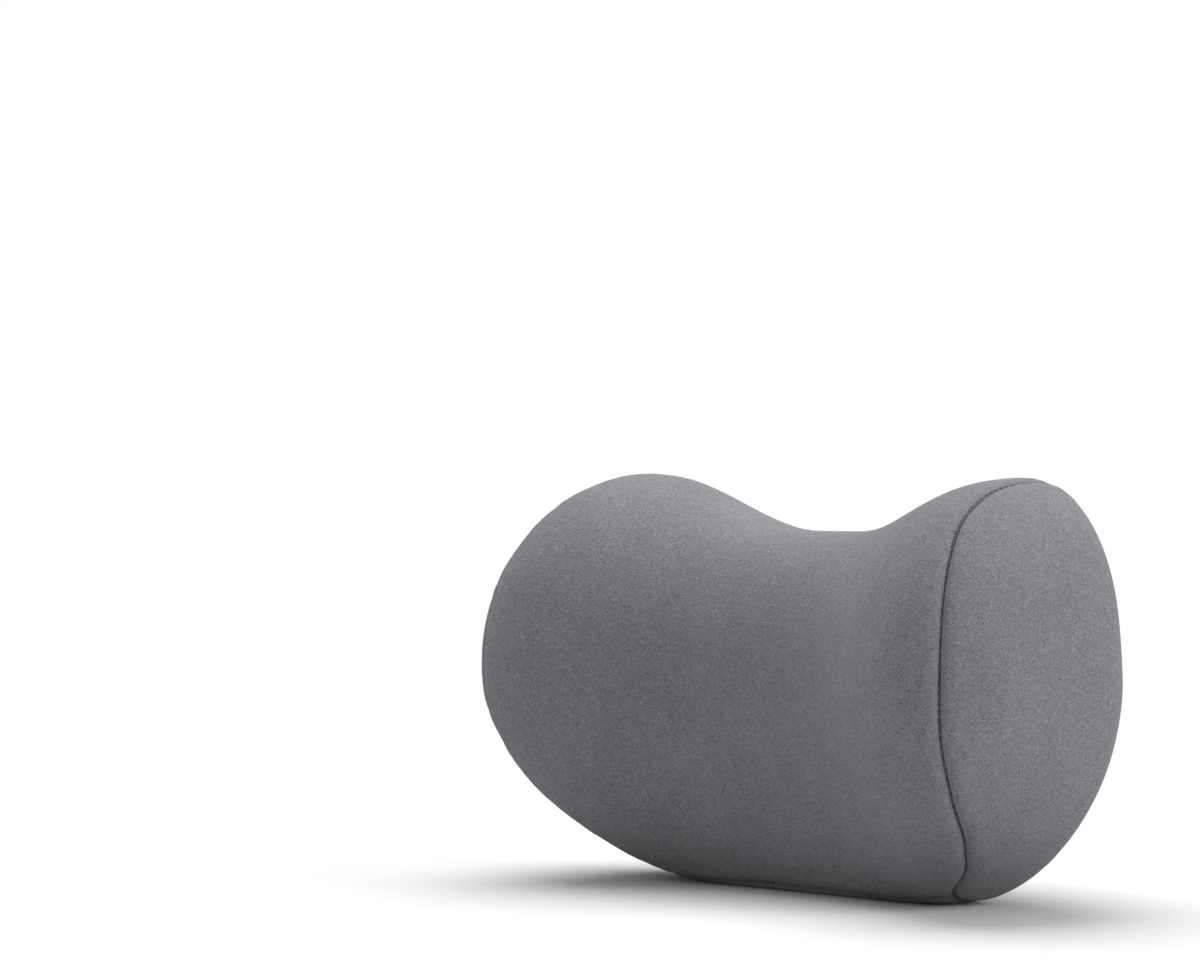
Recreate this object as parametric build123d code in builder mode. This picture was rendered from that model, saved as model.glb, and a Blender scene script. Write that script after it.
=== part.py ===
"""Saddle-shaped headrest pillow with a zipped velour cover and a buckled strap.

X runs along the width, -Y is the face the neck rests on, +Y is the back that
lies against the chair, Z is up.  All sizes are millimetres.
"""
from build123d import *
from math import asin, atan, cos, degrees, pi, radians, sin, tan
import os

os.makedirs("parts", exist_ok=True)

# ---- overall pillow -------------------------------------------------------
WIDTH = 280.0            # tip to tip
LOBE_RISE = 86.2         # middle of the section up to the lobe tops
DIP_RISE = 55.1          # the same in the middle of the saddle
BOTTOM_DROP = 91.0       # middle of the section down to the underside
FLAT_DEPTH = 6.0         # how much the underside is pressed flat
LOBE_FRONT = 84.7        # depth of the lobes in front of the section middle
DIP_FRONT = 49.1         # the same in the middle of the saddle
BACK_DEPTH = 49.0        # depth behind the section middle
LOBE_AT = 0.81           # share of the half width where the lobes are full
DIP_POWER = 1.56         # larger is a flatter, wider dip
LEAN = -3.7              # how far the top leans forward over 90 mm
DATUM_Y = 10.0           # puts the bounding box centre on Y = 0
MID_Z = BOTTOM_DROP - FLAT_DEPTH

# rounding of the two ends: (share power, root) for each side of the section
END_TOP = (4.22, 2.61)
END_BOTTOM = (3.30, 1.61)
END_FRONT = (7.34, 2.95)
END_BACK = (2.60, 1.61)
# roundness of the section, one power for each quarter
ROUND_FRONT_TOP = 2.10
ROUND_FRONT_BOTTOM = 2.21
ROUND_BACK_TOP = 2.81
ROUND_BACK_BOTTOM = 1.75

# ---- layers ---------------------------------------------------------------
COVER = 1.8              # velour with its backing
LINER = 0.7
LINER_GAP = 0.6          # between cover and liner, leaves room for the zip
FOAM_GAP = 0.3           # between liner and foam
SEAM_RISE = 120.0        # height of the seam behind the top edge
SEAM_BACK = 44.0         # its distance behind the section middle
SEAM_UNDER = -20.0       # where the seam crosses the underside

# ---- zip ------------------------------------------------------------------
ZIP_Z = 38.0
ZIP_LENGTH = 150.0
TAPE = 0.8
TAPE_HEIGHT = 7.0
COIL_HEIGHT = 1.5
COIL_DEPTH = 1.3
ZIP_SINK = 0.9           # outside of the tape below the cover surface
SLIDER_LENGTH = 9.0
SLIDER_HEIGHT = 7.0
SLIDER_WALL = 0.9
SLIDE_GAP = 0.2
BAIL_RISE = 2.6
BAIL_WALL = 0.8
BAIL_HEIGHT = 1.6
PULL_PIN = 0.55
PULL_LENGTH = 20.0
PULL_HEIGHT = 5.6

# ---- strap and buckle -----------------------------------------------------
STRAP_Z = 80.0
STRAP_WIDTH = 25.0
STRAP = 1.5
LAYER_STEP = 3.6         # between the two layers either side of a bar
STRAP_STRAIGHT = 22.0    # the straight run ends here
STRAP_END = 112.0        # where the strap is sewn down
STRAP_LIFT = 1.8         # centre of the strap above the cover at its end
TAIL_END = 92.0
FOLD_END = 62.0
PATCH_LENGTH = 16.0
PATCH_HEIGHT = 32.0
KEEPER_LENGTH = 8.0
KEEPER_WALL = 0.8
KEEPER_GAP = 0.35
KEEPER_X = 54.0
BUCKLE_WIDTH = 34.0
BUCKLE_THICK = 8.0
BUCKLE_LIFT = 0.5        # between the buckle and the cover
BAR = 1.9                # diameter of the two strap bars
BUCKLE_X = 6.0           # middle of the joint between plug and socket
ARM_PIN = 1.4
PIN_GAP = 0.06
ARM_Z = 9.6
ARM_PIVOT_X = 1.6
ARM_DEPTH = 2.3


def closing(share, shape):
    """How much of the full size is left at this share of the half width."""
    power, root = shape
    return max(0.0, 1.0 - abs(share) ** power) ** (1.0 / root)


def lobe(share):
    """0 in the middle of the saddle, 1 on the lobes."""
    if abs(share) >= LOBE_AT:
        return 1.0
    return ((1.0 - cos(pi * abs(share) / LOBE_AT)) / 2.0) ** DIP_POWER


def reach(share, inset):
    """Up, down, front and back sizes of the section at this share."""
    full = lobe(share)
    up = DIP_RISE + (LOBE_RISE - DIP_RISE) * full - inset
    front = DIP_FRONT + (LOBE_FRONT - DIP_FRONT) * full - inset
    return (
        up * closing(share, END_TOP),
        (BOTTOM_DROP - inset) * closing(share, END_BOTTOM),
        front * closing(share, END_FRONT),
        (BACK_DEPTH - inset) * closing(share, END_BACK),
    )


def signed_power(value, power):
    """Power of a value with its sign kept."""
    return (1.0 if value >= 0 else -1.0) * abs(value) ** power


def section(share, inset, count=36):
    """Points (Y, Z) round the section at this share of the half width."""
    up, down, front, back = reach(share, inset)
    points = []
    for step in range(count):
        turn = 2.0 * pi * step / count
        across, rise = cos(turn), sin(turn)
        if rise >= 0:
            power = ROUND_BACK_TOP if across > 0 else ROUND_FRONT_TOP
        else:
            power = ROUND_BACK_BOTTOM if across > 0 else ROUND_FRONT_BOTTOM
        y = (back if across > 0 else front) * signed_power(across, 2.0 / power)
        z = (up if rise >= 0 else down) * signed_power(rise, 2.0 / power)
        points.append((DATUM_Y + y + LEAN * z / 90.0, MID_Z + z))
    return points


def back_y(x, z, inset=0.0):
    """Y of the back of the pillow at this X and Z."""
    up, down, _, back = reach(x / (WIDTH / 2.0 - inset), inset)
    rise = z - MID_Z
    power, full = (ROUND_BACK_TOP, up) if rise > 0 else (ROUND_BACK_BOTTOM, down)
    left = max(0.0, 1.0 - (abs(rise) / full) ** power) ** (1.0 / power)
    return DATUM_Y + back * left + LEAN * rise / 90.0


STATIONS = [-0.975 + 1.95 * i / 20.0 for i in range(21)]


def pillow(inset):
    """The whole pillow, every side moved in by the inset."""
    with BuildPart() as whole:
        for step in STATIONS:
            share = sin(step * pi / 2.0)
            with BuildSketch(Plane.YZ.offset(share * (WIDTH / 2.0 - inset))):
                with BuildLine():
                    Spline(*section(share, inset), periodic=True)
                make_face()
        loft()
        with Locations((0, DATUM_Y, inset)):
            Box(2 * WIDTH, 2 * WIDTH, 2 * WIDTH,
                align=(Align.CENTER, Align.CENTER, Align.MIN),
                mode=Mode.INTERSECT)
    return whole.part


# X and Z of the seam round each end panel, from the underside to the top
SEAM_LINE = [
    (58, -9), (78, 5), (92, 13.5), (104, 26), (113, 45), (118, 68),
    (119.5, 90), (117.5, 113), (112.5, 134), (106.5, 150), (101, 166),
    (97, 190),
]

with BuildPart() as seam_prism:
    with BuildSketch(Plane.XZ):
        with BuildLine():
            Spline(*SEAM_LINE)
            Spline(*[(-x, z) for x, z in SEAM_LINE])
            Line(SEAM_LINE[0], (-SEAM_LINE[0][0], SEAM_LINE[0][1]))
            Line(SEAM_LINE[-1], (-SEAM_LINE[-1][0], SEAM_LINE[-1][1]))
        make_face()
    extrude(amount=200, both=True)

UNDER_Y = DATUM_Y + SEAM_UNDER
LEAN_RATE = (SEAM_BACK - SEAM_UNDER) / SEAM_RISE
with BuildPart() as front_zone:
    with BuildSketch(Plane.YZ):
        with BuildLine():
            Polyline(
                (UNDER_Y - 20 * LEAN_RATE, -20), (-200, -20), (-200, 240),
                (UNDER_Y + 240 * LEAN_RATE, 240),
                (UNDER_Y - 20 * LEAN_RATE, -20),
            )
        make_face()
    extrude(amount=250, both=True)

# ---- where the zip runs: an arc on a plane tilted with the back ---------------
ZIP_HALF = ZIP_LENGTH / 2.0
ZIP_SLOPE = (back_y(0, ZIP_Z + 7) - back_y(0, ZIP_Z - 7)) / 14.0
ZIP_TILT = atan(ZIP_SLOPE)
ZIP_OUT = (0.0, cos(ZIP_TILT), -sin(ZIP_TILT))


def zip_sag(x):
    """How far the back falls inside the middle of the zip at this X."""
    z = ZIP_Z
    for _ in range(12):
        fall = back_y(0, ZIP_Z) - back_y(x, z)
        z = ZIP_Z + fall * tan(ZIP_TILT)
    return fall * ZIP_OUT[1] - (z - ZIP_Z) * ZIP_OUT[2]


ZIP_SAG = zip_sag(ZIP_HALF)
ZIP_R = (ZIP_HALF ** 2 + ZIP_SAG ** 2) / (2.0 * ZIP_SAG)
ZIP_ANGLE = degrees(asin(ZIP_HALF / ZIP_R))
zip_frame = Plane(
    origin=(0.0, back_y(0, ZIP_Z) - (ZIP_R + ZIP_SINK) * ZIP_OUT[1],
            ZIP_Z - (ZIP_R + ZIP_SINK) * ZIP_OUT[2]),
    x_dir=(1, 0, 0), z_dir=(0, sin(ZIP_TILT), cos(ZIP_TILT)),
)


def arc_band(centre, r_in, r_out, z_low, z_high, start, end):
    """Band round a vertical axis; angles in degrees from +Y toward +X."""
    rim = []
    for radius in (r_in, r_out):
        rim.append([
            (centre[0] + radius * sin(radians(start + (end - start) * k)),
             centre[1] + radius * cos(radians(start + (end - start) * k)))
            for k in (0.0, 0.5, 1.0)
        ])
    with BuildPart() as band:
        with BuildSketch(Plane.XY.offset(z_low)):
            with BuildLine():
                ThreePointArc(*rim[0])
                ThreePointArc(*rim[1])
                Line(rim[0][0], rim[1][0])
                Line(rim[0][2], rim[1][2])
            make_face()
        extrude(amount=z_high - z_low)
    return band.part


def zip_band(r_in, r_out, z_low, z_high, start, end):
    """Band along the zip; heights are from the middle of the zip."""
    band = arc_band((0, 0), r_in, r_out, z_low, z_high, start, end)
    return zip_frame.location * band


ZIP_EDGE = TAPE_HEIGHT + 0.05
ZIP_SPAN = ZIP_ANGLE + 0.05
zip_slot = zip_band(ZIP_R - 5, ZIP_R + 20, -ZIP_EDGE, ZIP_EDGE,
                    -ZIP_SPAN, ZIP_SPAN)

# ---- foam and liner ---------------------------------------------------------
liner_inset = COVER + LINER_GAP
foam_inset = liner_inset + LINER + FOAM_GAP

with BuildPart() as foam_core:
    add(pillow(foam_inset))
foam_core.part.label = "foam_core"
export_step(foam_core.part, "parts/foam_core.step")

with BuildPart() as liner:
    add(pillow(liner_inset))
    add(pillow(liner_inset + LINER), mode=Mode.SUBTRACT)

with BuildPart() as liner_front:
    add(liner.part)
    add(front_zone.part, mode=Mode.INTERSECT)
liner_front.part.label = "liner_front"
export_step(liner_front.part, "parts/liner_front.step")

with BuildPart() as liner_back:
    add(liner.part)
    add(front_zone.part, mode=Mode.SUBTRACT)
liner_back.part.label = "liner_back"
export_step(liner_back.part, "parts/liner_back.step")

# ---- cover panels -----------------------------------------------------------
with BuildPart() as cover:
    add(pillow(0.0))
    add(pillow(COVER), mode=Mode.SUBTRACT)

with BuildPart() as cover_face_panel:
    add(cover.part)
    add(seam_prism.part, mode=Mode.INTERSECT)
    add(front_zone.part, mode=Mode.INTERSECT)
cover_face_panel.part.label = "cover_face_panel"
export_step(cover_face_panel.part, "parts/cover_face_panel.step")


def half_space(side):
    """Everything on one side of the middle plane."""
    with BuildPart() as half:
        with Locations((side * WIDTH, 0, 0)):
            Box(2 * WIDTH, 4 * WIDTH, 4 * WIDTH)
    return half.part


with BuildPart() as cover_left_end_panel:
    add(cover.part)
    add(seam_prism.part, mode=Mode.SUBTRACT)
    add(half_space(-1), mode=Mode.INTERSECT)
cover_left_end_panel.part.label = "cover_left_end_panel"
export_step(cover_left_end_panel.part, "parts/cover_left_end_panel.step")

with BuildPart() as cover_right_end_panel:
    add(cover.part)
    add(seam_prism.part, mode=Mode.SUBTRACT)
    add(half_space(1), mode=Mode.INTERSECT)
cover_right_end_panel.part.label = "cover_right_end_panel"
export_step(cover_right_end_panel.part, "parts/cover_right_end_panel.step")

with BuildPart() as cover_upper_back_panel:
    add(cover.part)
    add(seam_prism.part, mode=Mode.INTERSECT)
    add(front_zone.part, mode=Mode.SUBTRACT)
    with Locations((0, 0, ZIP_Z)):
        Box(400, 400, 400, align=(Align.CENTER, Align.CENTER, Align.MIN),
            mode=Mode.INTERSECT)
    add(zip_slot, mode=Mode.SUBTRACT)
cover_upper_back_panel.part.label = "cover_upper_back_panel"
export_step(cover_upper_back_panel.part, "parts/cover_upper_back_panel.step")

with BuildPart() as cover_lower_back_panel:
    add(cover.part)
    add(seam_prism.part, mode=Mode.INTERSECT)
    add(front_zone.part, mode=Mode.SUBTRACT)
    with Locations((0, 0, ZIP_Z)):
        Box(400, 400, 400, align=(Align.CENTER, Align.CENTER, Align.MAX),
            mode=Mode.INTERSECT)
    add(zip_slot, mode=Mode.SUBTRACT)
cover_lower_back_panel.part.label = "cover_lower_back_panel"
export_step(cover_lower_back_panel.part, "parts/cover_lower_back_panel.step")

# ---- zip --------------------------------------------------------------------
TAPE_END = ZIP_ANGLE
for side, word in ((1, "upper"), (-1, "lower")):
    with BuildPart() as zip_tape:
        add(zip_band(ZIP_R - TAPE, ZIP_R,
                     *sorted((side * 0.15, side * TAPE_HEIGHT)),
                     -TAPE_END, TAPE_END))
    zip_tape.part.label = "zip_tape_" + word
    export_step(zip_tape.part, "parts/zip_tape_" + word + ".step")

    with BuildPart() as zip_coil:
        add(zip_band(ZIP_R + 0.02, ZIP_R + COIL_DEPTH,
                     *sorted((side * 0.1, side * COIL_HEIGHT)),
                     -TAPE_END + 1.0, TAPE_END - 1.0))
    zip_coil.part.label = "zip_coil_" + word
    export_step(zip_coil.part, "parts/zip_coil_" + word + ".step")

STOP_SPAN = 0.35
for start, word in ((TAPE_END - 0.9, "right"), (-TAPE_END + 0.55, "left")):
    with BuildPart() as zip_stop:
        add(zip_band(ZIP_R + 0.02, ZIP_R + COIL_DEPTH + 0.3, -2.2, 2.2,
                     start, start + STOP_SPAN))
    zip_stop.part.label = "zip_stop_" + word
    export_step(zip_stop.part, "parts/zip_stop_" + word + ".step")

# the slider waits at the right end, where the zip is closed
SLIDER_TURN = TAPE_END - 1.9
SLIDER_IN = ZIP_R + SLIDE_GAP
SLIDER_ROOF = ZIP_R + COIL_DEPTH + SLIDE_GAP
SLIDER_OUT = SLIDER_ROOF + SLIDER_WALL
SLIDER_SPAN = degrees(SLIDER_LENGTH / 2.0 / ZIP_R)
SLIDER_HALF = SLIDER_HEIGHT / 2.0
COIL_SPACE = COIL_HEIGHT + SLIDE_GAP
BAIL_SPAN = degrees(3.0 / ZIP_R)
POST_SPAN = degrees(2.1 / ZIP_R)
with BuildPart() as zip_slider:
    add(zip_band(SLIDER_IN, SLIDER_OUT, -SLIDER_HALF, SLIDER_HALF,
                 SLIDER_TURN - SLIDER_SPAN, SLIDER_TURN + SLIDER_SPAN))
    add(zip_band(SLIDER_IN - 1, SLIDER_ROOF, -COIL_SPACE, COIL_SPACE,
                 SLIDER_TURN - 2, SLIDER_TURN + 2), mode=Mode.SUBTRACT)
    add(zip_band(SLIDER_OUT - 0.1, SLIDER_OUT + BAIL_RISE,
                 -BAIL_HEIGHT / 2.0, BAIL_HEIGHT / 2.0,
                 SLIDER_TURN - BAIL_SPAN, SLIDER_TURN + BAIL_SPAN))
    add(zip_band(SLIDER_OUT, SLIDER_OUT + BAIL_RISE - BAIL_WALL, -3, 3,
                 SLIDER_TURN - POST_SPAN, SLIDER_TURN + POST_SPAN),
        mode=Mode.SUBTRACT)
zip_slider.part.label = "zip_slider"
export_step(zip_slider.part, "parts/zip_slider.step")

# pull tab, built flat about its hinge pin, then laid along the zip
PIN_R = SLIDER_OUT + PULL_PIN + 0.3
PIN_TURN = radians(SLIDER_TURN)
EYE_HALF = BAIL_HEIGHT / 2.0 + 0.6
pull_seat = zip_frame.location * Location(
    (PIN_R * sin(PIN_TURN), PIN_R * cos(PIN_TURN), 0),
    (0, 0, -SLIDER_TURN))
with BuildPart() as pull_tab:
    Cylinder(PULL_PIN, 2.0 * EYE_HALF + 2.8)
    for side in (1, -1):
        with Locations((0, 0, side * (EYE_HALF + 0.7))):
            Box(7.0, 2.0 * PULL_PIN, 1.4,
                align=(Align.MAX, Align.CENTER, Align.CENTER))
    with BuildSketch(Plane.XZ):
        with Locations((-5.6 - PULL_LENGTH / 2.0, 0)):
            RectangleRounded(PULL_LENGTH, PULL_HEIGHT, 2.0)
        with Locations((-1.6 - PULL_LENGTH, 0)):
            Circle(1.4, mode=Mode.SUBTRACT)
    extrude(amount=PULL_PIN, both=True)
with BuildPart() as zip_pull_tab:
    add(pull_seat * pull_tab.part)
zip_pull_tab.part.label = "zip_pull_tab"
export_step(zip_pull_tab.part, "parts/zip_pull_tab.step")

# ---- strap: straight behind the middle, then an arc down to its sewn end -----
BUCKLE_Y = back_y(0, STRAP_Z) + BUCKLE_LIFT + BUCKLE_THICK / 2.0
STRAP_Y = BUCKLE_Y - LAYER_STEP / 2.0
STRAP_DROP = STRAP_Y - back_y(STRAP_END, STRAP_Z) - STRAP_LIFT
STRAP_RUN = STRAP_END - STRAP_STRAIGHT
STRAP_R = (STRAP_RUN ** 2 + STRAP_DROP ** 2) / (2.0 * STRAP_DROP)
STRAP_CY = STRAP_Y - STRAP_R


def arc_at(x, radius=STRAP_R):
    """Angle from +Y of the point of the strap arc at this X."""
    return degrees(asin((x - STRAP_STRAIGHT) / radius))


def strap_band(side, r_in, r_out, height, start, end):
    """Band along the strap arc on one side of the pillow."""
    return arc_band(
        (side * STRAP_STRAIGHT, STRAP_CY), r_in, r_out,
        STRAP_Z - height / 2.0, STRAP_Z + height / 2.0,
        *sorted((side * start, side * end)))


def webbing(side, bar_x, fold_end):
    """One strap: from its sewn end, round the bar and back over itself."""
    half = STRAP / 2.0
    with BuildPart() as strap:
        add(strap_band(side, STRAP_R - half, STRAP_R + half, STRAP_WIDTH,
                       0, arc_at(STRAP_END)))
        add(strap_band(side, STRAP_R + LAYER_STEP - half,
                       STRAP_R + LAYER_STEP + half, STRAP_WIDTH,
                       0, arc_at(fold_end, STRAP_R + LAYER_STEP)))
        centre = side * bar_x
        middle = (centre + side * STRAP_STRAIGHT) / 2.0
        for y in (STRAP_Y, STRAP_Y + LAYER_STEP):
            with Locations((middle, y, STRAP_Z)):
                Box(STRAP_STRAIGHT - bar_x, STRAP, STRAP_WIDTH)
        add(arc_fold(centre, side))
    return strap.part


def arc_fold(centre, side):
    """Half ring of webbing round a buckle bar."""
    mid = LAYER_STEP / 2.0
    half = STRAP / 2.0
    with BuildPart() as fold:
        with Locations((centre, BUCKLE_Y, STRAP_Z)):
            Cylinder(mid + half, STRAP_WIDTH)
            Cylinder(mid - half, STRAP_WIDTH, mode=Mode.SUBTRACT)
        with Locations((centre, BUCKLE_Y, STRAP_Z)):
            Box(20, 20, 2 * STRAP_WIDTH, mode=Mode.SUBTRACT,
                align=(Align.MIN if side > 0 else Align.MAX,
                       Align.CENTER, Align.CENTER))
    return fold.part


BAR_X = 20.0             # both strap bars, either side of the middle
SOCKET_BAR = -BAR_X - BUCKLE_X
PLUG_BAR = BAR_X - BUCKLE_X
with BuildPart() as strap_left_webbing:
    add(webbing(-1, BAR_X, FOLD_END))
strap_left_webbing.part.label = "strap_left_webbing"
export_step(strap_left_webbing.part, "parts/strap_left_webbing.step")

with BuildPart() as strap_right_webbing:
    add(webbing(1, BAR_X, TAIL_END))
strap_right_webbing.part.label = "strap_right_webbing"
export_step(strap_right_webbing.part, "parts/strap_right_webbing.step")

# sewn-down pocket patch over each strap end
for side, word in ((-1, "left"), (1, "right")):
    with BuildPart() as strap_patch:
        add(strap_band(side, STRAP_R - STRAP / 2.0 - 0.4,
                       STRAP_R + STRAP / 2.0 + 1.0, PATCH_HEIGHT,
                       arc_at(STRAP_END + 3 - PATCH_LENGTH),
                       arc_at(STRAP_END + 3)))
        add(strap_band(side, STRAP_R - STRAP / 2.0 - 0.02,
                       STRAP_R + STRAP / 2.0 + 0.02, STRAP_WIDTH + 0.1,
                       0, arc_at(STRAP_END) + 0.05), mode=Mode.SUBTRACT)
    strap_patch.part.label = "strap_patch_" + word
    export_step(strap_patch.part, "parts/strap_patch_" + word + ".step")

# keeper loop round both layers of the right strap
KEEPER_TURN = arc_at(KEEPER_X)
KEEPER_HALF = degrees(KEEPER_LENGTH / 2.0 / STRAP_R)
KEEPER_IN = STRAP_R - STRAP / 2.0 - KEEPER_GAP
KEEPER_OUT = STRAP_R + LAYER_STEP + STRAP / 2.0 + KEEPER_GAP
KEEPER_SPACE = STRAP_WIDTH + 2.0 * KEEPER_GAP
with BuildPart() as strap_keeper:
    add(strap_band(1, KEEPER_IN - KEEPER_WALL, KEEPER_OUT + KEEPER_WALL,
                   KEEPER_SPACE + 2.0 * KEEPER_WALL,
                   KEEPER_TURN - KEEPER_HALF, KEEPER_TURN + KEEPER_HALF))
    add(strap_band(1, KEEPER_IN, KEEPER_OUT, KEEPER_SPACE,
                   KEEPER_TURN - KEEPER_HALF - 1,
                   KEEPER_TURN + KEEPER_HALF + 1), mode=Mode.SUBTRACT)
strap_keeper.part.label = "strap_keeper"
export_step(strap_keeper.part, "parts/strap_keeper.step")

# ---- side-release buckle, built on a plane at its middle ---------------------
buckle_plane = Plane(origin=(BUCKLE_X, BUCKLE_Y, STRAP_Z), x_dir=(1, 0, 0),
                     z_dir=(0, 0, 1))
buckle_face = Plane(origin=(BUCKLE_X, BUCKLE_Y, STRAP_Z), x_dir=(1, 0, 0),
                    z_dir=(0, -1, 0))
CHEEK = (BUCKLE_WIDTH - 27.2) / 2.0
HALF_WIDTH = BUCKLE_WIDTH / 2.0

with BuildPart(buckle_plane) as buckle_socket:
    with Locations((-10.4, 0, 0)):
        Box(20.0, BUCKLE_THICK, BUCKLE_WIDTH)
    fillet(buckle_socket.edges().filter_by(Axis.X), 1.6)
    with Locations((-9.3, 0, 0)):
        Box(18.4, 5.4, 27.2, mode=Mode.SUBTRACT)
    with Locations((-12.2, 0, 0)):
        Box(9.6, 5.4, 2 * BUCKLE_WIDTH, mode=Mode.SUBTRACT)
    for end in (1, -1):
        with Locations((-23.8, 0, end * (HALF_WIDTH - CHEEK / 2.0))):
            Box(7.2, 4.8, CHEEK)
    with Locations((SOCKET_BAR, 0, 0)):
        Cylinder(BAR / 2.0, BUCKLE_WIDTH - 1.0)
buckle_socket.part.label = "buckle_socket"
export_step(buckle_socket.part, "parts/buckle_socket.step")

with BuildPart(buckle_plane) as buckle_plug:
    with Locations((4.0, 0, 0)):
        Box(8.0, BUCKLE_THICK, BUCKLE_WIDTH)
    fillet(buckle_plug.edges().filter_by(Axis.X), 1.6)
    with Locations((-8.0, 0, 0)):
        Box(16.2, 3.4, 5.2)
    for end in (1, -1):
        with Locations((11.6, 0, end * (HALF_WIDTH - CHEEK / 2.0))):
            Box(7.4, 4.8, CHEEK)
        with Locations((ARM_PIVOT_X, 0, end * ARM_Z)):
            Cylinder(ARM_PIN + PIN_GAP, 2.0 * ARM_DEPTH + 0.2,
                     rotation=(90, 0, 0), mode=Mode.SUBTRACT)
        with Locations((0.2, 0, end * (ARM_Z - 0.25))):
            Box(2.8, 2.0 * ARM_DEPTH + 0.2, 2.9, mode=Mode.SUBTRACT)
    with Locations((PLUG_BAR, 0, 0)):
        Cylinder(BAR / 2.0, BUCKLE_WIDTH - 1.0)
buckle_plug.part.label = "buckle_plug"
export_step(buckle_plug.part, "parts/buckle_plug.step")

ARM_OUTLINE = [
    (ARM_PIVOT_X, ARM_Z - 0.9), (-9.0, ARM_Z - 0.9), (-14.0, ARM_Z),
    (-14.0, 13.0), (-12.6, HALF_WIDTH - 0.4), (-8.8, HALF_WIDTH - 0.4),
    (-8.6, ARM_Z + 0.9), (ARM_PIVOT_X, ARM_Z + 0.9),
]
for end, word in ((1, "upper"), (-1, "lower")):
    with BuildPart(buckle_plane) as buckle_arm:
        with Locations((ARM_PIVOT_X, 0, end * ARM_Z)):
            Cylinder(ARM_PIN, 2.0 * ARM_DEPTH, rotation=(90, 0, 0))
        with BuildSketch(buckle_face):
            with BuildLine():
                Polyline(*[(x, end * z) for x, z in ARM_OUTLINE], close=True)
            make_face()
        extrude(amount=ARM_DEPTH, both=True)
    buckle_arm.part.label = "buckle_arm_" + word
    export_step(buckle_arm.part, "parts/buckle_arm_" + word + ".step")
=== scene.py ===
"""Looks of the saddle-shaped headrest pillow, its zip and its buckled strap.

Every object is in metres in the shared frame: X along the width, -Y the face
the neck rests on, +Y the back with the zip and strap, Z up.
"""
from __future__ import annotations

import logging
import math
from dataclasses import dataclass, field
from enum import Enum
from typing import Any, Callable, Iterable, Sequence

import bmesh
import bpy
import numpy as np
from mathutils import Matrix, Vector, kdtree, noise

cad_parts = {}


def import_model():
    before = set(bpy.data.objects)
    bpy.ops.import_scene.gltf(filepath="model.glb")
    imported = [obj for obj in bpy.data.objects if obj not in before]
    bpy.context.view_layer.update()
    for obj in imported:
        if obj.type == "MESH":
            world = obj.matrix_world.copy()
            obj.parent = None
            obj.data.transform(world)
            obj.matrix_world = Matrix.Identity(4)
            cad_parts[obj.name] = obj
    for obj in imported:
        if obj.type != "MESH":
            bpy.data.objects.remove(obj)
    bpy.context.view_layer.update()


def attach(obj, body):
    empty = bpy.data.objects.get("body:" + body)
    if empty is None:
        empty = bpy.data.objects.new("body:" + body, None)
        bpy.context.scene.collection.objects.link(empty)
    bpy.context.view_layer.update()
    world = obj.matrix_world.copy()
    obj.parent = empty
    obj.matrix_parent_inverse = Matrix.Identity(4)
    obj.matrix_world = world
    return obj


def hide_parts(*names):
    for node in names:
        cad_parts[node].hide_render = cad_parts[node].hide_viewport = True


LOG = logging.getLogger("headrest")
Colour = tuple[float, float, float, float]
Field = Callable[[np.ndarray], np.ndarray]
Place = tuple[float, float, float]
WHITE: Colour = (1.0, 1.0, 1.0, 1.0)
NEAR = 1e-6      # metres from a seam that still count as on it


def srgb(red: int, green: int, blue: int) -> Colour:
    """Turn a colour written 0 to 255 into the linear one shaders take.

    Args:
        red: level of red.
        green: level of green.
        blue: level of blue.

    Returns:
        The linear colour, with full alpha.
    """
    def one(level: int) -> float:
        """Linear value of one channel."""
        share = level / 255.0
        return share / 12.92 if share < 0.04045 else ((share + 0.055) / 1.055) ** 2.4
    return (one(red), one(green), one(blue), 1.0)


# --------------------------------------------------------------------------
# Shader maths
# --------------------------------------------------------------------------
class Wire:
    """A shader value that can be used in plain Python expressions."""

    def __init__(self, bench: "Bench", socket: Any) -> None:
        """Wrap one output socket of a bench's node tree."""
        self.bench = bench
        self.socket = socket

    def _maths(self, operation: str, *values: Any) -> "Wire":
        """Add one Math node for an operation on these values.

        Args:
            operation: Blender's name of the operation.
            values: numbers or wires that it works on.

        Returns:
            The result.
        """
        made = self.bench.node("ShaderNodeMath", {"operation": operation},
                               dict(enumerate(values)))
        return made["Value"]

    def __add__(self, other: Any) -> "Wire":
        """Sum of two values."""
        return self._maths("ADD", self, other)

    __radd__ = __add__

    def __sub__(self, other: Any) -> "Wire":
        """Difference of two values."""
        return self._maths("SUBTRACT", self, other)

    def __rsub__(self, other: Any) -> "Wire":
        """Difference with the plain number first."""
        return self._maths("SUBTRACT", other, self)

    def __mul__(self, other: Any) -> "Wire":
        """Product of two values."""
        return self._maths("MULTIPLY", self, other)

    __rmul__ = __mul__

    def sine(self) -> "Wire":
        """Sine of the value in radians."""
        return self._maths("SINE", self)

    def clamp(self) -> "Wire":
        """Value held between 0 and 1."""
        return self._maths("MINIMUM", self._maths("MAXIMUM", self, 0.0), 1.0)


class Made:
    """A node that has been added, with its outputs as wires."""

    def __init__(self, bench: "Bench", node: Any) -> None:
        """Keep the node and the bench that it stands on."""
        self.bench = bench
        self.node = node

    def __getitem__(self, name: str) -> Wire:
        """Output of that name.

        Args:
            name: name of an output that the node's settings leave in use.

        Returns:
            The output.
        """
        for socket in self.node.outputs:
            if socket.name == name and socket.enabled:
                return Wire(self.bench, socket)
        raise KeyError(name)


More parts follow.
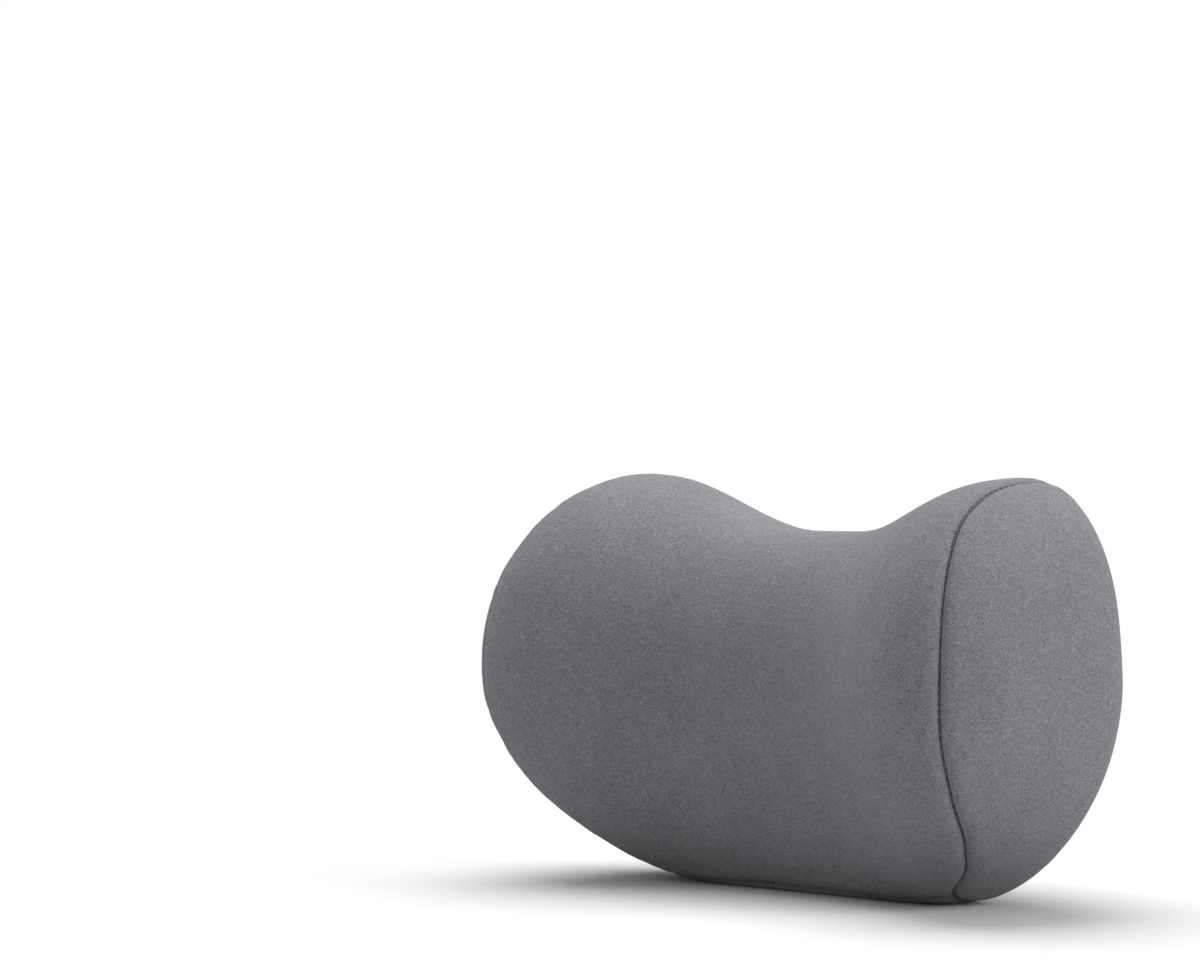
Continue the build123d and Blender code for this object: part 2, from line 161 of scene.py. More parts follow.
class Bench:
    """Node tree of one material, with a single way to add a node."""

    def __init__(self, name: str) -> None:
        """Start an empty material.

        Args:
            name: name of the material.
        """
        self.material = bpy.data.materials.new(name)
        self.material.use_nodes = True
        self.tree = self.material.node_tree
        self.tree.nodes.clear()

    def node(self, kind: str, settings: dict[str, Any] | None = None,
             values: dict[Any, Any] | None = None) -> Made:
        """Add a node.

        Args:
            kind: Blender's type name of the node.
            settings: properties set first; "stops" fills a colour ramp.
            values: numbers, colours or wires for the sockets, by name or place.

        Returns:
            The node with its outputs as wires.
        """
        made = self.tree.nodes.new(kind)
        for key, value in (settings or {}).items():
            if key == "stops":
                ramp = made.color_ramp
                while len(ramp.elements) < len(value):
                    ramp.elements.new(0.5)
                for stop, (place, colour) in zip(ramp.elements, value):
                    stop.position = place
                    stop.color = colour
            else:
                setattr(made, key, value)
        for key, value in (values or {}).items():
            if isinstance(key, int):
                socket = made.inputs[key]
            else:
                socket = next(s for s in made.inputs
                              if s.name == key and s.enabled)
            if isinstance(value, Wire):
                self.tree.links.new(value.socket, socket)
            else:
                socket.default_value = value
        return Made(self, made)

    def place(self, scale: Sequence[float] = (1.0, 1.0, 1.0),
              source: str = "Object") -> Wire:
        """Coordinates on the object, scaled along each axis.

        Args:
            scale: factor along each axis.
            source: Object, or UV on a woven piece.

        Returns:
            The scaled coordinates.
        """
        spot = self.node("ShaderNodeTexCoord")[source]
        return self.node("ShaderNodeMapping", None,
                         {"Vector": spot, "Scale": tuple(scale)})["Vector"]

    def speckle(self, scale: float, detail: float = 3.0,
                rough: float = 0.5, at: Wire | None = None,
                twist: float = 0.0) -> Wire:
        """Noise between 0 and 1 with this many spots to the metre.

        Args:
            scale: spots to the metre.
            detail: number of finer layers.
            rough: strength of the finer layers.
            at: coordinates, where not the object's own.
            twist: how far the noise is swirled.

        Returns:
            The noise.
        """
        spot = at or self.place()
        return self.node("ShaderNodeTexNoise", None, {
            "Vector": spot, "Scale": scale, "Detail": detail,
            "Roughness": rough, "Distortion": twist})["Fac"]

    def ramp(self, value: Wire, stops: Sequence[tuple[float, Colour]]) -> Wire:
        """Colour picked along a ramp."""
        return self.node("ShaderNodeValToRGB", {"stops": stops},
                         {"Fac": value})["Color"]

    def blend(self, share: Wire | float, first: Any, second: Any,
              how: str = "MIX") -> Wire:
        """Mix of two colours.

        Args:
            share: share of the second colour.
            first: first colour.
            second: second colour.
            how: Blender's name of the way they mix.

        Returns:
            The mixed colour.
        """
        made = self.tree.nodes.new("ShaderNodeMix")
        made.data_type = "RGBA"
        made.blend_type = how
        for index, value in ((0, share), (6, first), (7, second)):
            if isinstance(value, Wire):
                self.tree.links.new(value.socket, made.inputs[index])
            else:
                made.inputs[index].default_value = value
        return Wire(self, made.outputs[2])

    def bump(self, height: Wire, depth: float, under: Wire | None = None) -> Wire:
        """Surface normal raised by a height of this many metres.

        Args:
            height: height between 0 and 1.
            depth: metres that a height of 1 stands for.
            under: normal that this one goes over.

        Returns:
            The normal.
        """
        values: dict[Any, Any] = {"Height": height, "Strength": 1.0,
                                  "Distance": depth}
        if under is not None:
            values["Normal"] = under
        return self.node("ShaderNodeBump", None, values)["Normal"]

    def finish(self, **values: Any) -> bpy.types.Material:
        """Close the material with a Principled shader.

        Args:
            values: socket values, with underscores for spaces in the names.

        Returns:
            The finished material.
        """
        sockets = {key.replace("_", " "): value for key, value in values.items()}
        shader = self.node("ShaderNodeBsdfPrincipled", None, sockets)
        end = self.tree.nodes.new("ShaderNodeOutputMaterial")
        self.tree.links.new(shader["BSDF"].socket, end.inputs["Surface"])
        return self.material


# --------------------------------------------------------------------------
# Finishes
# --------------------------------------------------------------------------
@dataclass(frozen=True)
class Velour:
    """Short-pile grey velour with a soft sheen and a faintly swirled nap."""

    deep: Colour = srgb(113, 112, 116)
    pale: Colour = srgb(167, 165, 171)
    tint: Colour = srgb(216, 214, 222)
    sheen: float = 0.16
    pile_height: float = 0.0009
    swirls: float = 760.0
    hairs: float = 1700.0
    strokes: float = 55.0

    def make(self) -> bpy.types.Material:
        """Build the material.

        Returns:
            The finished material.
        """
        bench = Bench("velour")
        swirl = bench.speckle(self.swirls, 3.0, 0.6, twist=1.8)
        pile = bench.speckle(self.hairs, 2.0, 0.6)
        stroke = bench.speckle(self.strokes, 3.0, 0.5,
                               bench.place((1.0, 1.0, 0.45)))
        tone = swirl * 0.52 + pile * 0.40 + stroke * 0.08
        colour = bench.ramp(tone, [(0.36, self.deep), (0.64, self.pale)])
        nap = bench.bump(swirl * 0.6 + pile * 0.4, self.pile_height)
        return bench.finish(
            Base_Color=colour, Roughness=bench.speckle(90.0) * 0.12 + 0.82,
            Normal=nap, Sheen_Weight=self.sheen, Sheen_Roughness=0.42,
            Sheen_Tint=self.tint, Specular_IOR_Level=0.2)


@dataclass(frozen=True)
class Foam:
    """Cream memory foam with fine open cells."""

    light: Colour = srgb(240, 234, 216)
    shade: Colour = srgb(214, 204, 178)
    cells: float = 900.0
    cell_depth: float = 0.0004

    def make(self) -> bpy.types.Material:
        """Build the material.

        Returns:
            The finished material.
        """
        bench = Bench("memory_foam")
        cells = bench.node("ShaderNodeTexVoronoi", None, {
            "Vector": bench.place(), "Scale": self.cells})["Distance"]
        colour = bench.ramp(cells, [(0.1, self.shade), (0.5, self.light)])
        return bench.finish(Base_Color=colour, Roughness=0.95,
                            Normal=bench.bump(cells, self.cell_depth))


@dataclass(frozen=True)
class Knit:
    """Thin knitted liner with fine ribs."""

    light: Colour = srgb(236, 236, 234)
    shade: Colour = srgb(196, 197, 198)
    ribs: float = 260.0
    rib_depth: float = 0.0003

    def make(self) -> bpy.types.Material:
        """Build the material.

        Returns:
            The finished material.
        """
        bench = Bench("liner_knit")
        ribs = bench.node("ShaderNodeTexWave", {"bands_direction": "X"}, {
            "Vector": bench.place(), "Scale": self.ribs,
            "Distortion": 1.5, "Detail": 2.0})["Fac"]
        colour = bench.ramp(ribs, [(0.0, self.shade), (1.0, self.light)])
        return bench.finish(Base_Color=colour, Roughness=0.9,
                            Normal=bench.bump(ribs, self.rib_depth))


@dataclass(frozen=True)
class Webbing:
    """Woven elastic band: lengthwise cords crossed by close picks."""

    name: str
    deep: Colour
    pale: Colour
    cords: float = 18.0
    picks: float = 900.0
    hairs: float = 1600.0
    weave_depth: float = 0.00035

    def make(self) -> bpy.types.Material:
        """Build the material; V runs across the band, U along it in metres.

        Returns:
            The finished material.
        """
        bench = Bench(self.name)
        parts = bench.node("ShaderNodeSeparateXYZ", None, {
            "Vector": bench.place(source="UV")})
        along, across = parts["X"], parts["Y"]
        cord = (across * (math.tau * self.cords)).sine() * 0.5 + 0.5
        pick = (along * (math.tau * self.picks)
                + across * (math.pi * self.cords)).sine() * 0.5 + 0.5
        weave = cord * 0.6 + pick * 0.4
        fuzz = bench.speckle(self.hairs, 2.0)
        tone = (weave * 0.7 + fuzz * 0.3).clamp()
        colour = bench.ramp(tone, [(0.15, self.deep), (0.85, self.pale)])
        return bench.finish(Base_Color=colour, Roughness=fuzz * 0.15 + 0.7,
                            Normal=bench.bump(weave, self.weave_depth),
                            Sheen_Weight=0.2, Sheen_Roughness=0.5)


@dataclass(frozen=True)
class Moulded:
    """Moulded plastic with a fine spark-eroded grain and rubbed edges."""

    name: str
    deep: Colour
    pale: Colour
    rubbed: Colour = srgb(92, 92, 96)
    rough: float = 0.46
    grains: float = 2600.0
    grain_depth: float = 0.00006

    def make(self) -> bpy.types.Material:
        """Build the material.

        Returns:
            The finished material.
        """
        bench = Bench(self.name)
        grain = bench.speckle(self.grains, 3.0, 0.6)
        haze = bench.speckle(120.0, 3.0)
        wear = bench.node("ShaderNodeNewGeometry")["Pointiness"]
        edge = ((wear - 0.52) * 9.0).clamp()
        colour = bench.blend(
            edge * 0.5, bench.ramp(haze, [(0.3, self.deep), (0.7, self.pale)]),
            self.rubbed)
        return bench.finish(
            Base_Color=colour, Roughness=haze * 0.14 + self.rough,
            Normal=bench.bump(grain, self.grain_depth))


@dataclass(frozen=True)
class Enamel:
    """Dark enamel on cast zinc, a little brighter where it is handled."""

    base: Colour = srgb(58, 58, 62)
    worn: Colour = srgb(128, 127, 130)

    def make(self) -> bpy.types.Material:
        """Build the material.

        Returns:
            The finished material.
        """
        bench = Bench("zip_enamel")
        haze = bench.speckle(500.0, 4.0)
        wear = bench.node("ShaderNodeNewGeometry")["Pointiness"]
        edge = ((wear - 0.51) * 8.0 + (haze - 0.5) * 0.4).clamp()
        return bench.finish(
            Base_Color=bench.blend(edge, self.base, self.worn),
            Metallic=edge * 0.5 + 0.3, Roughness=haze * 0.2 + 0.28,
            Normal=bench.bump(haze, 0.00003), Coat_Weight=0.3)


@dataclass(frozen=True)
class Thread:
    """Twisted polyester sewing thread."""

    name: str
    deep: Colour
    pale: Colour
    twists: float = 900.0
    twist_depth: float = 0.00008

    def make(self) -> bpy.types.Material:
        """Build the material.

        Returns:
            The finished material.
        """
        bench = Bench(self.name)
        twist = bench.node("ShaderNodeTexWave", {"bands_direction": "DIAGONAL"}, {
            "Vector": bench.place(), "Scale": self.twists,
            "Distortion": 0.6})["Fac"]
        colour = bench.ramp(twist, [(0.2, self.deep), (0.8, self.pale)])
        return bench.finish(Base_Color=colour, Roughness=0.6,
                            Normal=bench.bump(twist, self.twist_depth))


@dataclass
class Finishes:
    """All the finishes of the part, built once."""

    made: dict[str, bpy.types.Material] = field(default_factory=dict)

    def __post_init__(self) -> None:
        """Build every material."""
        for name, recipe in {
            "velour": Velour(), "foam": Foam(), "liner": Knit(),
            "band": Webbing("elastic_webbing", srgb(34, 34, 37),
                            srgb(74, 74, 79)),
            "tape": Webbing("zip_tape", srgb(62, 62, 66), srgb(104, 104, 109),
                            cords=9.0, picks=1400.0),
            "nylon": Moulded("zip_nylon", srgb(70, 70, 74), srgb(88, 88, 93)),
            "acetal": Moulded("buckle_acetal", srgb(26, 26, 28),
                              srgb(36, 36, 39)),
            "enamel": Enamel(),
            "seam_thread": Thread("seam_thread", srgb(50, 50, 53),
                                  srgb(82, 82, 86)),
            "strap_thread": Thread("strap_thread", srgb(24, 24, 26),
                                   srgb(60, 60, 64)),
        }.items():
            self.made[name] = recipe.make()

    def __getitem__(self, name: str) -> bpy.types.Material:
        """Finish of that name."""
        return self.made[name]


# --------------------------------------------------------------------------
# Mesh helpers
# --------------------------------------------------------------------------
def new_piece(name: str, points: Any, faces: Any,
              finish: bpy.types.Material) -> bpy.types.Object:
    """Make a smooth-shaded mesh object at the origin.

    Args:
        name: name of the piece.
        points: its vertices in metres.
        faces: its faces as vertex numbers, turned outward.
        finish: its material.

    Returns:
        The new object, linked to the scene.
    """
    mesh = bpy.data.meshes.new(name)
    mesh.from_pydata([tuple(map(float, p)) for p in points], [],
                     [tuple(map(int, f)) for f in faces])
    mesh.shade_smooth()
    mesh.materials.append(finish)
    piece = bpy.data.objects.new(name, mesh)
    bpy.context.scene.collection.objects.link(piece)
    return piece


def bake_modifiers(piece: bpy.types.Object) -> None:
    """Turn a piece with modifiers into a plain mesh of the same shape.

    Args:
        piece: the piece, whose modifiers are removed.
    """
    graph = bpy.context.evaluated_depsgraph_get()
    mesh = bpy.data.meshes.new_from_object(piece.evaluated_get(graph),
                                           depsgraph=graph)
    piece.modifiers.clear()
    piece.data = mesh


def softened(node: str, body: str, finish: bpy.types.Material,
             width: float) -> bpy.types.Object:
    """Copy a CAD node with its edges rounded, and let it stand for the node.

    Args:
        node: name of the CAD node.
        body: body that it moves with.
        finish: material of the copy.
        width: rounding of the edges, in metres.

    Returns:
        The rounded piece.
    """
    source = bpy.data.objects[node]
    shape = bmesh.new()
    shape.from_mesh(source.data)
    bmesh.ops.remove_doubles(shape, verts=shape.verts, dist=2e-6)
    bmesh.ops.dissolve_limit(shape, angle_limit=math.radians(1.0),
                             verts=shape.verts, edges=shape.edges)
    mesh = bpy.data.meshes.new(node + "_form")
    shape.to_mesh(mesh)
    shape.free()
    mesh.materials.clear()
    mesh.materials.append(finish)
    piece = bpy.data.objects.new(node + "_form", mesh)
    bpy.context.scene.collection.objects.link(piece)
    bevel = piece.modifiers.new("round", "BEVEL")
    bevel.width = width
    bevel.segments = 3
    bevel.limit_method = "ANGLE"
    bevel.angle_limit = math.radians(32.0)
    bevel.harden_normals = False
    bake_modifiers(piece)
    piece.data.shade_smooth()
    piece.data.set_sharp_from_angle(angle=math.radians(50.0))
    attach(piece, body)
    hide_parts(node)
    return piece


def evenly(start: float, end: float, count: int) -> list[float]:
    """Numbers from start to end, both included, in this many equal steps."""
    return [start + (end - start) * k / count for k in range(count + 1)]


def path_curve(name: str, points: Sequence[Vector], closed: bool) -> bpy.types.Object:
    """Make a poly curve through these points.

    Args:
        name: name of the curve.
        points: its points.
        closed: whether its end joins its start.

    Returns:
        The new curve object.
    """
    curve = bpy.data.curves.new(name, "CURVE")
    curve.dimensions = "3D"
    spline = curve.splines.new("POLY")
    spline.points.add(len(points) - 1)
    for spot, point in zip(spline.points, points):
        spot.co = (*point, 1.0)
    spline.use_cyclic_u = closed
    piece = bpy.data.objects.new(name, curve)
    bpy.context.scene.collection.objects.link(piece)
    return piece


class Lay(Enum):
    """How the repeated bars lie on their path."""

    ALONG = "along"
    ACROSS = "across"


@dataclass
class Repeats:
    """Geometry Nodes tree that sets small round bars along a path."""

    name: str
    lay: Lay
    finish: bpy.types.Material

    def tree(self) -> bpy.types.NodeTree:
        """Build the node tree with its named inputs.

        Returns:
            The node tree.
        """
        group = bpy.data.node_groups.new(self.name, "GeometryNodeTree")
        face = group.interface
        face.new_socket("Path", in_out="INPUT", socket_type="NodeSocketGeometry")
        for label in ("Spacing", "Length", "Radius"):
            face.new_socket(label, in_out="INPUT", socket_type="NodeSocketFloat")
        face.new_socket("Across", in_out="INPUT", socket_type="NodeSocketVector")
        face.new_socket("Bars", in_out="OUTPUT", socket_type="NodeSocketGeometry")
        nodes, links = group.nodes, group.links
        given = nodes.new("NodeGroupInput")
        spread = nodes.new("GeometryNodeResampleCurve")
        spread.mode = "LENGTH"
        links.new(given.outputs["Path"], spread.inputs["Curve"])
        links.new(given.outputs["Spacing"], spread.inputs["Length"])
        bar = nodes.new("GeometryNodeMeshCylinder")
        bar.inputs["Vertices"].default_value = 7
        links.new(given.outputs["Radius"], bar.inputs["Radius"])
        links.new(given.outputs["Length"], bar.inputs["Depth"])
        turn = nodes.new("FunctionNodeAlignRotationToVector")
        turn.axis = "Z"
        if self.lay is Lay.ALONG:
            heading = nodes.new("GeometryNodeInputTangent")
            links.new(heading.outputs["Tangent"], turn.inputs["Vector"])
        else:
            links.new(given.outputs["Across"], turn.inputs["Vector"])
        place = nodes.new("GeometryNodeInstanceOnPoints")
        links.new(spread.outputs["Curve"], place.inputs["Points"])
        links.new(bar.outputs["Mesh"], place.inputs["Instance"])
        links.new(turn.outputs["Rotation"], place.inputs["Rotation"])
        real = nodes.new("GeometryNodeRealizeInstances")
        links.new(place.outputs["Instances"], real.inputs["Geometry"])
        dress = nodes.new("GeometryNodeSetMaterial")
        dress.inputs["Material"].default_value = self.finish
        links.new(real.outputs["Geometry"], dress.inputs["Geometry"])
        end = nodes.new("NodeGroupOutput")
        links.new(dress.outputs["Geometry"], end.inputs["Bars"])
        return group

    def lay_on(self, paths: Iterable[tuple[Sequence[Vector], bool]],
               spacing: float, length: float, radius: float,
               across: Sequence[float] = (0.0, 0.0, 1.0)) -> bpy.types.Object:
        """Lay the bars along every path and join them as one plain mesh.

        Args:
            paths: the points of each path and whether it closes.
            spacing: distance from one bar to the next, in metres.
            length: length of a bar.
            radius: radius of a bar.
            across: direction of the bars where they don't follow the path.

        Returns:
            One mesh object with all the bars.
        """
        group = self.tree()
        merged = bmesh.new()
        for number, (points, closed) in enumerate(paths):
            path = path_curve(f"{self.name}_path_{number}", points, closed)
            nodes = path.modifiers.new("bars", "NODES")
            nodes.node_group = group
            wanted = {"Spacing": spacing, "Length": length, "Radius": radius,
                      "Across": tuple(across)}
            for item in group.interface.items_tree:
                if item.name in wanted:
                    nodes[item.identifier] = wanted[item.name]
            graph = bpy.context.evaluated_depsgraph_get()
            mesh = bpy.data.meshes.new_from_object(
                path.evaluated_get(graph), depsgraph=graph)
            merged.from_mesh(mesh)
            bpy.data.objects.remove(path)
        mesh = bpy.data.meshes.new(self.name)
        merged.to_mesh(mesh)
        merged.free()
        mesh.materials.clear()
        mesh.materials.append(self.finish)
        mesh.shade_smooth()
        mesh.set_sharp_from_angle(angle=math.radians(55.0))
        piece = bpy.data.objects.new(self.name, mesh)
        bpy.context.scene.collection.objects.link(piece)
        return piece


@dataclass(frozen=True)
class Bars:
    """Spacing, length and radius of repeated bars, in metres."""

    spacing: float
    length: float
    radius: float


def sewn(name: str, paths: Sequence[tuple[Sequence[Vector], bool]], bars: Bars,
         finish: bpy.types.Material, lay: Lay = Lay.ALONG,
         across: Sequence[float] = (0.0, 0.0, 1.0)) -> bpy.types.Object:
    """Lay bars along paths on the pillow, as one piece that rides on it.

    Args:
        name: name of the piece.
        paths: the points of each path and whether it closes.
        bars: sizes of the bars.
        finish: their material.
        lay: whether the bars follow their path or cross it.
        across: direction of bars that cross it.

    Returns:
        The new piece.
    """
    piece = Repeats(name, lay, finish).lay_on(
        paths, bars.spacing, bars.length, bars.radius, across)
    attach(piece, "pillow")
    LOG.info("%s: %d faces", name, len(piece.data.polygons))
    return piece


# --------------------------------------------------------------------------
# Pillow
# --------------------------------------------------------------------------
class Panel(Enum):
    """Panels of the cover, with the CAD node that each stands for."""

    FACE = "cover_face_panel"
    LEFT_END = "cover_left_end_panel"
    RIGHT_END = "cover_right_end_panel"
    UPPER_BACK = "cover_upper_back_panel"
    LOWER_BACK = "cover_lower_back_panel"


@dataclass
class PillowForm:
    """Shape of the resting pillow, worked out section by section."""

    half_width: float = 0.140
    lobe_rise: float = 0.0862
    dip_rise: float = 0.0551
    bottom_drop: float = 0.091
    lobe_front: float = 0.0847
    dip_front: float = 0.0491
    back_depth: float = 0.049
    lobe_at: float = 0.81
    dip_power: float = 1.56
    lean: float = -3.7 / 90.0
    datum_y: float = 0.010
    mid_z: float = 0.085
    end_top: tuple[float, float] = (4.22, 2.61)
    end_bottom: tuple[float, float] = (3.30, 1.61)
    end_front: tuple[float, float] = (7.34, 2.95)
    end_back: tuple[float, float] = (2.60, 1.61)
    round_top: tuple[float, float] = (2.81, 2.10)
    round_bottom: tuple[float, float] = (1.75, 2.21)
    last_station: float = 0.985
    press_blend: float = 0.0012
    smooth_from: float = 0.118
    smooth_over: float = 0.018
    smooth_passes: int = 60
    crown_rise: float = 0.0016
    crown_reach: float = 0.014
    rows: int = 300
    columns: int = 400

    @staticmethod
    def closing(share: np.ndarray, shape: tuple[float, float]) -> np.ndarray:
        """Share of the full size that is left towards the tips.

        Args:
            share: place along the half width, -1 to 1.
            shape: power of the place and root of what is left.

        Returns:
            The share, 1 in the middle and 0 at the tips.
        """
        return np.clip(1.0 - np.abs(share) ** shape[0], 0, 1) ** (1.0 / shape[1])

    def reach(self, share: np.ndarray) -> tuple[np.ndarray, ...]:
        """Up, down, front and back sizes of the sections.

        Args:
            share: place of each section along the half width, -1 to 1.

        Returns:
            The four sizes of every section, in metres.
        """
        full = np.where(
            np.abs(share) < self.lobe_at,
            (1.0 - np.cos(np.pi * np.abs(share) / self.lobe_at)) / 2.0, 1.0)
        full = full ** self.dip_power
        up = self.dip_rise + (self.lobe_rise - self.dip_rise) * full
        front = self.dip_front + (self.lobe_front - self.dip_front) * full
        return (up * self.closing(share, self.end_top),
                self.bottom_drop * self.closing(share, self.end_bottom),
                front * self.closing(share, self.end_front),
                self.back_depth * self.closing(share, self.end_back))

    def grid(self) -> np.ndarray:
        """Points of the whole surface as rows of closed sections.

        Returns:
            Array of rows by columns by X, Y and Z.
        """
        share = np.sin(np.linspace(-self.last_station, self.last_station,
                                   self.rows) * np.pi / 2.0)
        turn = np.linspace(0, 2 * np.pi, self.columns, endpoint=False)
        up, down, front, back = (size[:, None] for size in self.reach(share))
        across, rise = np.cos(turn)[None, :], np.sin(turn)[None, :]
        power = np.where(rise >= 0, np.where(across > 0, *self.round_top),
                         np.where(across > 0, *self.round_bottom))
        y = (np.where(across > 0, back, front)
             * np.sign(across) * np.abs(across) ** (2.0 / power))
        z = (np.where(rise >= 0, up, down)
             * np.sign(rise) * np.abs(rise) ** (2.0 / power))
        x = np.broadcast_to((share * self.half_width)[:, None], y.shape)
        points = np.stack(
            [x, self.datum_y + y + self.lean * z, self.mid_z + z], -1)
        points = self.even(points)
        points = self.relax(points)
        points = self.crown(points)
        low = points[..., 2]
        points[..., 2] = 0.5 * (low + np.sqrt(low * low + self.press_blend ** 2))
        return points

    def crown(self, points: np.ndarray) -> np.ndarray:
        """Dome the two tips, which the closing sections leave blunt.

        Args:
            points: the grid, as rows of closed sections.

        Returns:
            The grid with its tips raised.
        """
        for side in (0, -1):
            centre = points[side].mean(axis=0)
            outward = points[..., 0] * np.sign(centre[0])
            gap = np.linalg.norm((points - centre)[..., 1:], axis=-1)
            rise = self.crown_rise * np.exp(-(gap / self.crown_reach) ** 2)
            rise *= outward > 0.8 * self.half_width
            points[..., 0] += np.sign(centre[0]) * rise
        return points

    @staticmethod
    def even(points: np.ndarray) -> np.ndarray:
        """Space the points of each section evenly round it.

        Args:
            points: the grid, as rows of closed sections.

        Returns:
            A grid of the same shape.
        """
        out = points.copy()
        count = points.shape[1]
        for row in range(points.shape[0]):
            ring = np.vstack([points[row], points[row][:1]])
            run = np.concatenate(
                [[0.0], np.cumsum(np.linalg.norm(np.diff(ring, axis=0), axis=1))])
            want = np.linspace(0.0, run[-1], count, endpoint=False)
            for axis in range(3):
                out[row, :, axis] = np.interp(want, run, ring[:, axis])
        return out

    def relax(self, points: np.ndarray) -> np.ndarray:
        """Smooth the tips, where the sections close.

        Args:
            points: the grid, as rows of closed sections.

        Returns:
            The smoothed grid.
        """
        depth = np.abs(points[..., 0:1]) - self.smooth_from
        weight = np.clip(depth / self.smooth_over, 0, 1) * 0.5
        for _ in range(self.smooth_passes):
            above = np.vstack([points[:1], points[:-1]])
            below = np.vstack([points[1:], points[-1:]])
            above[0] = points[0].mean(axis=0)
            below[-1] = points[-1].mean(axis=0)
            mean = (above + below + np.roll(points, 1, 1)
                    + np.roll(points, -1, 1)) / 4.0
            points = points + weight * (mean - points)
        return points


@dataclass
class SeamLines:
    """Where the seams of the cover run, as functions that are 0 on a seam."""

    outline: tuple[tuple[float, float], ...] = (
        (58, -9), (78, 5), (92, 13.5), (104, 26), (113, 45), (118, 68),
        (119.5, 90), (117.5, 113), (112.5, 134), (106.5, 150), (101, 166),
        (97, 190))
    under_y: float = -0.010
    rate: float = 64.0 / 120.0
    zip_z: float = 0.038
    zip_centre: tuple[float, float] = (-0.385373, 0.189141)
    zip_tilt: float = math.radians(19.08705)
    zip_radius: float = 0.4613
    zip_reach: float = math.radians(9.407)
    zip_half: float = 0.00705

    def side(self, points: np.ndarray) -> np.ndarray:
        """Positive on the end panels.

        Args:
            points: places, in metres.

        Returns:
            Distance along X outside the side seam's outline.
        """
        heights = np.array([z for _, z in self.outline]) / 1000.0
        widths = np.array([x for x, _ in self.outline]) / 1000.0
        slope = np.gradient(widths, heights)
        z = np.clip(points[..., 2], heights[0], heights[-1] - 1e-6)
        index = np.clip(np.searchsorted(heights, z, side="right") - 1,
                        0, len(heights) - 2)
        span = heights[index + 1] - heights[index]
        k = (z - heights[index]) / span
        edge = ((2 * k ** 3 - 3 * k ** 2 + 1) * widths[index]
                + (k ** 3 - 2 * k ** 2 + k) * span * slope[index]
                + (3 * k ** 2 - 2 * k ** 3) * widths[index + 1]
                + (k ** 3 - k ** 2) * span * slope[index + 1])
        return np.abs(points[..., 0]) - edge

    def behind(self, points: np.ndarray) -> np.ndarray:
        """Positive behind and under the seam of the face panel."""
        return points[..., 1] - self.under_y - self.rate * points[..., 2]

    def level(self, points: np.ndarray) -> np.ndarray:
        """Positive above the middle of the zip."""
        return points[..., 2] - self.zip_z

    @staticmethod
    def anywhere(points: np.ndarray) -> np.ndarray:
        """True all over the cover."""
        return np.ones(points.shape[:-1], bool)

    def inboard(self, points: np.ndarray) -> np.ndarray:
        """True between the two end panels."""
        return self.side(points) < NEAR

    def rear(self, points: np.ndarray) -> np.ndarray:
        """True on the back, between the end panels."""
        return self.inboard(points) & (self.behind(points) > -NEAR)

    def beside_zip(self, points: np.ndarray) -> np.ndarray:
        """True on the back, outside the zip's opening."""
        return self.rear(points) & (self.slot(points) > -NEAR)

    def zip_local(self, points: np.ndarray) -> np.ndarray:
        """Points in the zip's own tilted frame: along, outward, up.

        Args:
            points: places in the shared frame.

        Returns:
            The same places in the zip's frame.
        """
        y = points[..., 1] - self.zip_centre[0]
        z = points[..., 2] - self.zip_centre[1]
        c, s = math.cos(self.zip_tilt), math.sin(self.zip_tilt)
        return np.stack([points[..., 0], y * c - z * s, y * s + z * c], -1)

    def slot(self, points: np.ndarray) -> np.ndarray:
        """Negative inside the opening that the zip closes.

        Args:
            points: places in the shared frame.

        Returns:
            Distance outside the opening's edge.
        """
        local = self.zip_local(points)
        angle = np.abs(np.arctan2(local[..., 0], local[..., 1]))
        run = (angle - self.zip_reach) * self.zip_radius
        value = np.maximum(np.abs(local[..., 2]) - self.zip_half, run)
        return np.where(local[..., 1] > 0.44, value, 1.0)

    def zip_point(self, angle: float, out: float, up: float) -> Vector:
        """Place on the zip.

        Args:
            angle: from the middle toward +X, in radians.
            out: distance outside the tape's outer face.
            up: height above the middle of the zip.

        Returns:
            The point in the shared frame.
        """
        radius = self.zip_radius + out
        x, y = radius * math.sin(angle), radius * math.cos(angle)
        c, s = math.cos(self.zip_tilt), math.sin(self.zip_tilt)
        return Vector((x, self.zip_centre[0] + y * c + up * s,
                       self.zip_centre[1] - y * s + up * c))

    def zip_axis(self) -> Vector:
        """Direction across the zip."""
        return Vector((0.0, math.sin(self.zip_tilt), math.cos(self.zip_tilt)))


